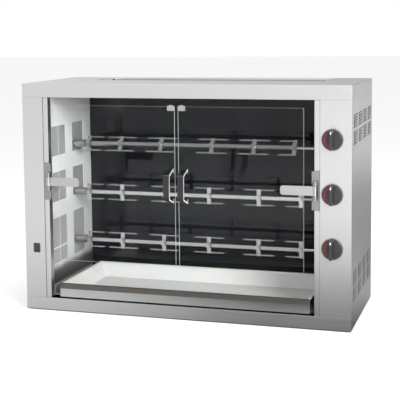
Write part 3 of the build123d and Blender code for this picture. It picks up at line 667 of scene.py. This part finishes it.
@once("node_groups", "Rows and columns")
def grid_tree(name):
    """Copies of a shape in rows and columns."""
    tree, given, end = repeat_tree(name, ("Columns", "Int", 2), ("Column step", "Vector", (0.1, 0, 0)),
                                   ("Rows", "Int", 2), ("Row step", "Vector", (0, 0, 0.01)))
    columns = add(tree, "GeometryNodeMeshLine", Count=given["Columns"], Offset=given["Column step"])
    rows = add(tree, "GeometryNodeMeshLine", Count=given["Rows"], Offset=given["Row step"])
    lattice = copies(tree, columns.outputs[0], rows.outputs[0])
    points = add(tree, "GeometryNodeRealizeInstances", Geometry=lattice).outputs[0]
    finish_tree(tree, copies(tree, points, given["Geometry"]), given, end)
    return tree


@once("node_groups", "Ring of copies")
def ring_tree(name):
    """Copies of a shape turned step by step about an axis through a centre."""
    tree, given, end = repeat_tree(name, ("Count", "Int", 12), ("Axis", "Vector", (0, 0, 1)),
                                   ("Centre", "Vector", (0, 0, 0)))
    line = add(tree, "GeometryNodeMeshLine", Count=given["Count"], Offset=(0.0, 0.0, 0.0))
    index = add(tree, "GeometryNodeInputIndex").outputs[0]
    angle = times(tree, index, maths(tree, "DIVIDE", tau, given["Count"]))
    turn = add(tree, "FunctionNodeAxisAngleToRotation", Axis=given["Axis"], Angle=angle)
    turned = add(tree, "GeometryNodeRotateInstances", Rotation=turn.outputs[0], Pivot_Point=given["Centre"],
                 Instances=copies(tree, line.outputs[0], given["Geometry"]), Local_Space=False)
    finish_tree(tree, turned.outputs[0], given, end)
    return tree


@once("node_groups", "Links along a path")
def chain_tree(name):
    """Links set along a closed path, each turned to follow it."""
    tree, given, end = repeat_tree(name, ("Path", "Object", None), ("Count", "Int", 90))
    path = add(tree, "GeometryNodeObjectInfo", Object=given["Path"]).outputs["Geometry"]
    points = add(tree, "GeometryNodeCurveToPoints", {"mode": "COUNT"}, Curve=path, Count=given["Count"])
    turn = points.outputs["Rotation"]
    finish_tree(tree, copies(tree, points.outputs["Points"], given["Geometry"], Rotation=turn), given, end)
    return tree


def grown(piece, tree, **inputs):
    """Run a tree on the piece with its named inputs and keep the plain mesh."""
    modifier = piece.modifiers.new(tree.name, "NODES")
    modifier.node_group = tree
    for item in tree.interface.items_tree:
        if item.item_type == "SOCKET" and item.in_out == "INPUT" and item.name.replace(" ", "_") in inputs:
            modifier[item.identifier] = inputs[item.name.replace(" ", "_")]
    return settle(piece)


def ribs(finish, low, high, place, count):
    """A rib between two corners at a place, repeated round the place's own Z axis."""
    work = bmesh.new()
    cuboid(work, low, high, place)
    axis = place.to_3x3() @ Vector((0, 0, 1))
    return grown(closed("rib", work, finish), ring_tree(), Count=count, Axis=tuple(axis),
                 Centre=tuple(place.translation), Material=finish)


def joined(name, pieces):
    """Join finished meshes of one finish into one object."""
    work = bmesh.new()
    finish = pieces[0].data.materials[0]
    for piece in pieces:
        work.from_mesh(piece.data)
        bpy.data.objects.remove(piece)
    piece = from_bmesh(name, work, [finish])
    for polygon in piece.data.polygons:
        polygon.material_index = 0
    return piece


# ---- operators

class OVEN_OT_casing(Operator):
    """Casing sheets with rounded edges, brushed along their length"""
    bl_idname = "oven.casing"
    bl_label = "Casing"

    def execute(self, context):
        edge = context.scene.oven_detail.edge
        for node in ("top_cover", "base_pan"):
            finished(node, casing_steel(GRAIN_X), edge, 3)
        for node in ("left_front_panel", "control_panel", "left_jamb", "right_jamb", "rear_cover"):
            finished(node, casing_steel(GRAIN_Z), edge)
        for node in ("left_side_panel", "right_side_panel"):
            finished(node, casing_steel(GRAIN_Y), edge)
        return {"FINISHED"}


def hood(length_, height, depth, thickness, finish):
    """One louvre hood along local X that opens downwards, standing off towards local Z."""
    steps = 6
    work = bmesh.new()
    rows = []
    for offset in (0.0, thickness):
        for step in range(steps + 1):
            angle = pi / 2 * step / steps
            out = (depth - offset) * sin(angle)
            up = (height - offset) * cos(angle)
            rows.append([work.verts.new((x, up, out)) for x in (-length_ / 2, length_ / 2)])
    count = steps + 1
    outer, inner = rows[:count], rows[count:]
    for side in (outer, inner):
        for lower, upper in zip(side, side[1:]):
            skin(work, lower, upper)
    for end in (0, 1):
        rim = [row[end] for row in outer] + [row[end] for row in reversed(inner)]
        work.faces.new(rim if end else list(reversed(rim)))
    for end in (0, -1):
        skin(work, outer[end], inner[end])
    return closed("hood", work, finish)


class OVEN_OT_louvres(Operator):
    """Pressed louvre hoods over the slots of the right side and the rear cover"""
    bl_idname = "oven.louvres"
    bl_label = "Louvres"

    sheet = 0.7 * MM
    sunk = 0.05 * MM
    rows = 5
    side_columns = 4
    rear_columns = 6
    cell_first = 47.0 * MM
    cell_pitch = 108.0 * MM
    slot = 64.0 * MM
    slot_height = 4.5 * MM
    slot_pitch = 9.2 * MM
    banks = (88.0 * MM, 142.0 * MM, 590.0 * MM, 644.0 * MM)
    rear_slot = 80.0 * MM
    rear_slot_height = 5.0 * MM
    rear_pitch = 14.0 * MM
    rear_drop = 110.0 * MM
    rear_margin = 160.0 * MM

    def execute(self, context):
        depth = context.scene.oven_detail.hood_depth
        self.side_louvres(depth)
        self.rear_louvres(depth)
        return {"FINISHED"}

    def side_louvres(self, depth):
        finish = casing_steel(GRAIN_Y)
        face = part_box("right_side_panel")[1].x
        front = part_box("control_panel")[0].y
        start = front + self.cell_first + self.slot / 2
        outwards = Matrix.Rotation(radians(90), 4, "Z")
        banks = []
        for bottom in self.banks:
            piece = hood(self.slot + MM, self.slot_height + MM, depth, self.sheet, finish)
            piece.data.transform(facing(face - self.sunk, start, bottom, outwards))
            banks.append(grown(piece, grid_tree(), Columns=self.side_columns, Rows=self.rows, Material=finish,
                               Column_step=(0, self.cell_pitch, 0), Row_step=(0, 0, self.slot_pitch)))
        go_with(joined("side_louvres", banks), "right_side_panel")

    def rear_louvres(self, depth):
        finish = casing_steel(GRAIN_Z)
        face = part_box("rear_cover")[1].y
        low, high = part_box("top_cover")
        backwards = Matrix.Rotation(pi, 4, "Z")
        piece = hood(self.rear_slot + MM, self.rear_slot_height + MM, depth, self.sheet, finish)
        first = (low.x + self.rear_margin, face - self.sunk, low.z - self.rear_drop)
        piece.data.transform(facing(*first, backwards))
        step = (high.x - low.x - 2 * self.rear_margin) / (self.rear_columns - 1)
        grown(piece, grid_tree(), Columns=self.rear_columns, Column_step=(step, 0, 0), Rows=self.rows,
              Row_step=(0, 0, self.rear_pitch), Material=finish)
        piece.name = "rear_louvres"
        go_with(piece, "rear_cover")


class OVEN_OT_chamber(Operator):
    """Liners, ceiling, black glass, and what lies behind them"""
    bl_idname = "oven.chamber"
    bl_label = "Chamber"

    def execute(self, context):
        edge = context.scene.oven_detail.edge
        for node in ("left_liner", "right_liner"):
            finished(node, liner_steel(), edge)
        finished("tray_rails", dull_steel(), edge)
        finished("lower_rear_strip", enamel(), edge)
        finished("rear_glass", black_glass(), 0.8 * MM)
        dress("window_plate", dull_steel())
        dress("insulation_board", mineral_fibre())
        dress("heating_elements", oxidised())
        for node in ("chamber_ceiling", "element_reflector"):
            dress(node, liner_steel())
        for node in ("regulators", "terminal_block"):
            dress(node, switch_plastic())
        return {"FINISHED"}


class OVEN_OT_spits(Operator):
    """Spit rods, forks with knurled thumb screws, sockets and bushes"""
    bl_idname = "oven.spits"
    bl_label = "Spits"

    widest_screw = 14.5 * MM
    screw_tip = 18.4 * MM

    def execute(self, context):
        steel = spit_steel()
        for level in LEVELS:
            finished("spit_rod_" + level, steel, 0.7 * MM, 3)
            finished("spit_forks_" + level, steel, 0.5 * MM)
            finished("drive_hub_" + level, socket_steel(), 0.4 * MM)
            self.knurls(context, level)
        finished("right_bushes", bronze(), 0.4 * MM)
        dress("left_bearings", bronze())
        return {"FINISHED"}

    def knurls(self, context, level):
        """Ribs round each thumb screw, which stands square to the spit as the spit is turned."""
        steel = spit_steel()
        along = Vector((1, 0, 0))
        node = "spit_forks_" + level
        axis_y, axis_z = JOINTS[f"spit_{level}_spin"]["pos_m"][1:]
        rings = []
        for low, high in islands(node):
            middle = centre_of((low, high))
            away = Vector((0, middle.y - axis_y, middle.z - axis_z))
            if high.x - low.x > self.widest_screw or away.length < MM:
                continue
            away.normalize()
            radius = (high.x - low.x) / 2
            corners = [Vector((0, y - axis_y, z - axis_z)) for y in (low.y, high.y) for z in (low.z, high.z)]
            tip = min(max(corner.dot(away) for corner in corners), self.screw_tip)
            place = Matrix((along, away.cross(along), away)).transposed().to_4x4()
            place.translation = Vector((middle.x, axis_y, axis_z))
            rings.append(ribs(steel, (radius - 0.3 * MM, -0.7 * MM, tip - 6.5 * MM),
                              (radius + 0.6 * MM, 0.7 * MM, tip - 1.0 * MM), place,
                              context.scene.oven_detail.knurls))
        if rings:
            go_with(joined("thumb_screw_knurls_" + level, rings), node)


class OVEN_OT_drip_tray(Operator):
    """Drip tray with softened folds"""
    bl_idname = "oven.drip_tray"
    bl_label = "Drip tray"

    fascia_depth = 8 * MM
    lip_height = 17 * MM

    def execute(self, context):
        piece = finished("drip_tray", tray_steel(), 0.6 * MM, 3)
        for finish in (casing_steel(GRAIN_X), stained_steel()):
            piece.data.materials.append(finish)
        low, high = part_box("drip_tray")
        back = low.y + self.fascia_depth
        bend = high.z - self.lip_height
        # the fascia's upper band gets the steel painted dark as a reflection, with baked fat; its lower band gets
        # casing steel
        for polygon in piece.data.polygons:
            if polygon.center.y < back:
                polygon.material_index = 2 if polygon.center.z > bend else 1
        return {"FINISHED"}


class OVEN_OT_doors(Operator):
    """Glass doors with ground edges, strap hinges, handles and corner clips"""
    bl_idname = "oven.doors"
    bl_label = "Doors"

    def execute(self, context):
        fitting = fitting_steel()
        for side in SIDES:
            self.glass(side)
            finished("hinge_arm_" + side, fitting, 0.8 * MM, 3)
            self.handle("door_handle_" + side)
            finished("corner_clip_" + side, fitting, 0.5 * MM, 3)
            finished("door_screws_" + side, zinc_steel(), 0.7 * MM, 3)
        finished("hinge_brackets", bracket_steel(), 0.5 * MM, 3)
        finished("hinge_pins", zinc_steel(), 0.6 * MM, 3)
        return {"FINISHED"}

    def handle(self, node):
        """Polished strap: flats painted dark as a reflection, side faces painted bright as a highlight."""
        piece = finished(node, dark_polish(), 1.1 * MM, 3)
        piece.data.materials.append(cut_edge())
        # side faces take the painted highlight
        for polygon in piece.data.polygons:
            if abs(polygon.normal.x) > 0.3:
                polygon.material_index = 1

    def glass(self, side):
        node = "door_glass_" + side
        piece = from_bmesh(node + "_piece", merged(node), [clear_glass(), ground_edge()])
        rounded(piece, 0.7 * MM, 2)
        for polygon in piece.data.polygons:
            polygon.material_index = 0 if abs(polygon.normal.y) > 0.98 else 1
        stand_for(piece, node)


class OVEN_OT_knobs(Operator):
    """Control knobs with a grip bar, white index and red heat field"""
    bl_idname = "oven.knobs"
    bl_label = "Knobs"

    def execute(self, context):
        for level in LEVELS:
            self.knob(level)
            dress("knob_shaft_" + level, zinc_steel())
        return {"FINISHED"}

    def knob(self, level):
        node = "knob_" + level
        low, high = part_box(node)
        axis = JOINTS[f"knob_{level}_turn"]["pos_m"]
        radius = (high.x - low.x) / 2
        rise = high.y - low.y
        skirt = 8.0 * MM
        place = facing(axis[0], high.y, axis[2])
        work = bmesh.new()
        profile = [(0, 0.6 * MM), (radius - 3 * MM, 0.6 * MM), (radius - 2 * MM, 0), (radius - 0.6 * MM, 0),
                   (radius, 0.6 * MM), (radius, skirt - 3 * MM), (radius - 0.5 * MM, skirt - 1.8 * MM),
                   (radius - 1.6 * MM, skirt - 1.0 * MM), (radius - 2.6 * MM, skirt - 1.0 * MM),
                   (radius - 4.0 * MM, skirt - 1.6 * MM), (0.5 * radius, skirt - 0.6 * MM),
                   (0, skirt - 0.4 * MM)]
        lathe(work, profile, place, 96)
        self.bar(work, place, radius, skirt, rise)
        piece = closed(node + "_piece", work, knob_plastic())
        rounded(piece, 0.9 * MM, 3)
        stand_for(piece, node)
        self.marks(node, place, radius, skirt, rise)

    def bar(self, work, place, radius, skirt, rise):
        """Grip bar: waisted in plan and narrower at its top."""
        steps = 12
        reach = radius - 1.6 * MM
        levels = []
        for height, share in ((skirt - 2.4 * MM, 1.0), (skirt + 3 * MM, 0.95), (rise - 2.5 * MM, 0.74),
                              (rise, 0.60)):
            outline = []
            for direction in (1, -1):
                for step in range(steps + 1):
                    along = -direction * reach + direction * 2 * reach * step / steps
                    half = (6.2 * MM + 1.8 * MM * (along / reach) ** 2) * share
                    end = abs(along) / reach
                    if end > 0.99:
                        half *= 0.72
                    outline.append(place @ Vector((direction * half, along * (0.97 + 0.03 * share), height)))
            levels.append([work.verts.new(point) for point in outline])
        for lower, upper in zip(levels, levels[1:]):
            skin(work, lower, upper, wrap=True)
        work.faces.new(levels[-1])
        work.faces.new(list(reversed(levels[0])))

    def marks(self, node, place, radius, skirt, rise):
        """White index on the bar and red field beside it."""
        work = bmesh.new()
        low = (-1.6 * MM, radius - 12 * MM, rise - 0.5 * MM)
        high = (1.6 * MM, radius - 4.5 * MM, rise + 0.15 * MM)
        cuboid(work, low, high, place)
        index = from_bmesh(node + "_index", work, [moulded("index_white", tint("mark"), 0.4)])
        go_with(rounded(index, 0.2 * MM), node)
        field = bmesh.new()
        steps = 28
        inner, outer = [], []
        for step in range(steps + 1):
            angle = radians(108 + 144 * step / steps)
            edge = radius - 4.4 * MM
            near = min(8.6 * MM / max(abs(cos(angle)), 0.2), edge - MM)
            for ring, reach in ((inner, near), (outer, edge)):
                level = skirt - 1.6 * MM + 1.0 * MM * (1 - reach / radius) + 0.35 * MM
                ring.append(field.verts.new(place @ Vector((reach * cos(angle), reach * sin(angle), level))))
        skin(field, outer, inner)
        shape = bmesh.ops.extrude_face_region(field, geom=list(field.faces))["geom"]
        drop = place.to_3x3() @ Vector((0, 0, -0.8 * MM))
        bmesh.ops.translate(field, vec=drop, verts=[v for v in shape if isinstance(v, bmesh.types.BMVert)])
        piece = closed(node + "_heat_field", field, moulded("heat_red", tint("heat_mark"), 0.38))
        go_with(piece, node)


class OVEN_OT_switch(Operator):
    """Motor switch with its dished rocker"""
    bl_idname = "oven.switch"
    bl_label = "Motor switch"

    def execute(self, context):
        finished("switch_housing", switch_plastic(), 0.5 * MM, 3)
        finished("rocker", knob_plastic(), 0.4 * MM, 3)
        return {"FINISHED"}


class OVEN_OT_drive(Operator):
    """Roller chain, motor and bracket in the left column"""
    bl_idname = "oven.drive"
    bl_label = "Spit drive"

    def execute(self, context):
        dress("gearmotor", motor_paint())
        dress("motor_bracket", zinc_steel())
        dress("motor_sprocket", zinc_steel())
        self.chain(context)
        return {"FINISHED"}

    def chain(self, context):
        """Links along the racetrack half-way through the chain's CAD band."""
        steel = zinc_steel()
        low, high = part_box("drive_chain")
        centre = (low + high) / 2
        radius = (high.y - low.y) / 2 - 2.2 * MM
        straight = (high.z - low.z) / 2 - (high.y - low.y) / 2
        curve = bpy.data.curves.new("chain_path", "CURVE")
        curve.dimensions = "3D"
        spline = curve.splines.new("POLY")
        points = []
        for end in (1, -1):
            for step in range(13):
                angle = pi * step / 12
                points.append((0.0, end * radius * cos(angle), end * (straight + radius * sin(angle))))
        spline.points.add(len(points) - 1)
        for target, point in zip(spline.points, points):
            target.co = (centre.x + point[0], centre.y + point[1], centre.z + point[2], 1.0)
        spline.use_cyclic_u = True
        path = new_object("chain_path", curve)
        total = 4 * straight + tau * radius
        count = 2 * round(total / context.scene.oven_detail.chain_pitch / 2)
        pitch = total / count
        half = (high.x - low.x) / 2
        work = bmesh.new()
        plate = Vector((1.9 * MM, 0.4 * MM, pitch * 0.62))
        for side in (-1, 1):
            middle = Vector((0, side * (half - 0.5 * MM), 0))
            cuboid(work, middle - plate, middle + plate)
        roller = Matrix.Rotation(radians(90), 4, "X")
        pin = half * 0.7
        lathe(work, [(0, -pin), (1.6 * MM, -pin), (1.6 * MM, pin), (0, pin)], roller, 8)
        link = closed("drive_chain_links", work, steel)
        grown(link, chain_tree(), Path=path, Count=count, Material=steel)
        bpy.data.objects.remove(path)
        stand_for(link, "drive_chain")


class OVEN_OT_rear_fittings(Operator):
    """Cover screws with cross recesses and the cable gland"""
    bl_idname = "oven.rear_fittings"
    bl_label = "Rear fittings"

    def execute(self, context):
        self.screws()
        self.gland()
        return {"FINISHED"}

    def screws(self):
        steel = fitting_steel()
        places = islands("cover_screws")
        low, high = places[0]
        radius = (high.x - low.x) / 2
        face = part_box("rear_cover")[1].y
        head = high.y - face
        centre = centre_of(places[0])
        place = facing_back(centre.x, face, centre.z)
        work = bmesh.new()
        rim = 0.3 * MM
        profile = [(0, -0.2 * MM), (radius, -0.2 * MM), (radius, rim)]
        for step in range(5):
            angle = radians(90 * step / 4)
            profile.append((radius * (0.55 + 0.45 * cos(angle)), rim + (head - rim) * sin(angle)))
        recess = radius * 0.42
        profile += [(recess, head), (radius * 0.40, head - 0.9 * MM), (0, head - 1.1 * MM)]
        lathe(work, profile, place, 20)
        for turn in (0, 90):
            cuboid(work, (-recess, -0.25 * MM, head - 1.0 * MM), (recess, 0.25 * MM, head - 0.25 * MM),
                   place @ Matrix.Rotation(radians(turn), 4, "Z"))
        piece = closed("cover_screw_heads", work, steel)
        columns = sorted({round(centre_of(pair).x, 4) for pair in places})
        rows = sorted({round(centre_of(pair).z, 4) for pair in places})
        across = (columns[-1] - columns[0], 0, 0)
        down = (0, 0, rows[1] - rows[0])
        grown(piece, grid_tree(), Columns=len(columns), Column_step=across, Rows=len(rows), Row_step=down,
              Material=steel)
        piece.data.shade_smooth()
        piece.data.set_sharp_from_angle(angle=SMOOTH_ANGLE)
        stand_for(piece, "cover_screws")

    def gland(self):
        plastic = switch_plastic()
        low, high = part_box("cable_gland")
        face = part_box("rear_cover")[1].y
        centre = (low + high) / 2
        nut = (high.x - low.x) / 2
        reach = high.y - face
        bore = 4.5 * MM
        place = facing_back(centre.x, face, centre.z)
        work = bmesh.new()
        stem = -11.5 * MM
        flat = nut * 0.99
        lathe(work, [(bore, stem), (10 * MM, stem), (10 * MM, 0), (flat, 0), (flat, 5.0 * MM),
                     (nut * 0.93, 5.6 * MM), (bore, 5.6 * MM), (bore, stem)], place, segments=6)
        shoulder = nut * 0.86
        crown = 6.5 * MM
        dome = [(bore, 5.0 * MM), (shoulder, 5.0 * MM)]
        for step in range(7):
            angle = radians(90 * step / 6)
            out = bore + MM + (shoulder - bore - MM) * cos(angle)
            dome.append((out, crown + (reach - crown) * sin(angle)))
        dome += [(bore, reach - 0.3 * MM), (bore, 5.0 * MM)]
        lathe(work, dome, place, 32)
        bmesh.ops.remove_doubles(work, verts=work.verts, dist=WELD)
        piece = closed("cable_gland_piece", work, plastic)
        rounded(piece, 0.4 * MM)
        stand_for(piece, "cable_gland")


class OVEN_OT_feet(Operator):
    """Rubber feet with ribs round them"""
    bl_idname = "oven.feet"
    bl_label = "Feet"

    def execute(self, context):
        grip = rubber()
        count = context.scene.oven_detail.foot_ribs
        finished("rubber_feet", grip, 0.8 * MM, 3)
        rings = []
        for low, high in islands("rubber_feet"):
            centre = centre_of((low, high))
            radius = (high.x - low.x) / 2
            place = Matrix.Translation((centre.x, centre.y, 0))
            rings.append(ribs(grip, (radius - 2.2 * MM, -0.8 * MM, 2.5 * MM),
                              (radius - 0.2 * MM, 0.8 * MM, 9.0 * MM), place, count))
        go_with(joined("foot_ribs", rings), "rubber_feet")
        return {"FINISHED"}


class OVEN_OT_stage(Operator):
    """Pale floor, white surround, soft lights and the camera"""
    bl_idname = "oven.stage"
    bl_label = "Stage"

    floor_half = 30.0
    camera_place = (1.0456, -3.5042, 0.9642)
    camera_turn = (84.50, 0.64, 17.61)
    camera_shift = (0.0530, -0.175)
    # centre, reach of the core, reach of the rim, share of the floor's colour that steel mirrors there
    dim_patches = (((0.0, 0.0, 0.0), 0.6, 2.2, 0.52), ((0.55, -0.45, 0.0), 0.25, 1.0, 0.05),
                   ((1.3, 1.9, 0.0), 1.0, 2.4, 0.25))
    dark_side = (0.77, 0.64, 0.0)

    def execute(self, context):
        settings = context.scene.oven_stage
        self.floor(settings)
        self.surround(context, settings)
        self.lights(settings)
        self.camera(context, settings)
        context.scene.view_settings.view_transform = "Standard"
        return {"FINISHED"}

    def floor(self, settings):
        work = bmesh.new()
        corners = ((-1, -1), (1, -1), (1, 1), (-1, 1))
        work.faces.new([work.verts.new((x * self.floor_half, y * self.floor_half, 0)) for x, y in corners])
        made, tree, shader = material("floor_paint", Roughness=0.9, Metallic=0.0, IOR=1.2)
        place = object_place(tree)
        mirrored = rgba(settings.floor, 0.96)
        for centre, core, rim, share in self.dim_patches:
            outside = self.distance(tree, place, centre, core, rim)
            mirrored = blended(tree, outside, rgba(settings.floor, share), mirrored)
        put(tree, shader.inputs["Base Color"], for_gloss(tree, rgba(settings.floor), mirrored))
        from_bmesh("floor", work, [made])

    def distance(self, tree, place, centre, near, far):
        """0 nearer to centre than near, 1 beyond far."""
        away = add(tree, "ShaderNodeVectorMath", {"operation": "DISTANCE"})
        put(tree, away.inputs[0], place)
        away.inputs[1].default_value = centre
        return ramp(tree, away.outputs["Value"], near, far)

    def surround(self, context, settings):
        """White all round, with a darker side for steel to mirror."""
        world = bpy.data.worlds.new("white_surround")
        world.use_nodes = True
        tree = world.node_tree
        back = tree.nodes["Background"]
        direction = add(tree, "ShaderNodeTexCoord").outputs["Generated"]
        towards = add(tree, "ShaderNodeVectorMath", {"operation": "DOT_PRODUCT"})
        put(tree, towards.inputs[0], direction)
        towards.inputs[1].default_value = self.dark_side
        mirrored = blended(tree, ramp(tree, towards.outputs["Value"], -0.1, 0.9), WHITE, SHADE)
        put(tree, back.inputs["Color"], for_gloss(tree, WHITE, mirrored))
        back.inputs["Strength"].default_value = settings.sky
        context.scene.world = world

    def lights(self, settings):
        self.soft_box("top_light", (0.0, -0.4, 2.6), (0, 0, 0.3), 2.4, settings.top_power)
        self.soft_box("front_light", (2.3, -2.5, 1.5), (-0.4, 0, 0.4), 1.2, settings.front_power)

    def soft_box(self, name, place, target, size, power):
        data = bpy.data.lights.new(name, "AREA")
        data.shape = "SQUARE"
        data.size = size
        data.energy = power
        made = new_object(name, data)
        made.location = place
        made.rotation_euler = (Vector(target) - Vector(place)).to_track_quat("-Z", "Y").to_euler()

    def camera(self, context, settings):
        data = bpy.data.cameras.new("camera")
        data.lens = settings.lens
        data.sensor_width = 36.0
        data.shift_x, data.shift_y = self.camera_shift
        made = new_object("camera", data)
        made.location = self.camera_place
        made.rotation_euler = Euler([radians(value) for value in self.camera_turn], "XYZ")
        context.scene.camera = made


STEPS = (OVEN_OT_casing, OVEN_OT_louvres, OVEN_OT_chamber, OVEN_OT_spits, OVEN_OT_drip_tray, OVEN_OT_doors,
         OVEN_OT_knobs, OVEN_OT_switch, OVEN_OT_drive, OVEN_OT_rear_fittings, OVEN_OT_feet, OVEN_OT_stage)


class OVEN_PT_sidebar(Panel):
    """Oven pieces in the order in which they are built"""
    bl_idname = "OVEN_PT_sidebar"
    bl_label = "Rotisserie oven"
    bl_space_type = "VIEW_3D"
    bl_region_type = "UI"
    bl_category = "Oven"

    def draw(self, context):
        for group in GROUPS:
            box = self.layout.box()
            settings = getattr(context.scene, group)
            for key in settings.__annotations__:
                box.prop(settings, key)
        for step in STEPS:
            self.layout.operator(step.bl_idname)


CLASSES = (*GROUPS.values(), *STEPS, OVEN_PT_sidebar)


def register():
    for kind in CLASSES:
        bpy.utils.register_class(kind)
    for name, kind in GROUPS.items():
        setattr(bpy.types.Scene, name, PointerProperty(type=kind))


def unregister():
    for name in GROUPS:
        delattr(bpy.types.Scene, name)
    for kind in reversed(CLASSES):
        bpy.utils.unregister_class(kind)


def main():
    register()
    for step in STEPS:
        module, name = step.bl_idname.split(".")
        getattr(getattr(bpy.ops, module), name)()


if __name__ == "__main__":
    main()
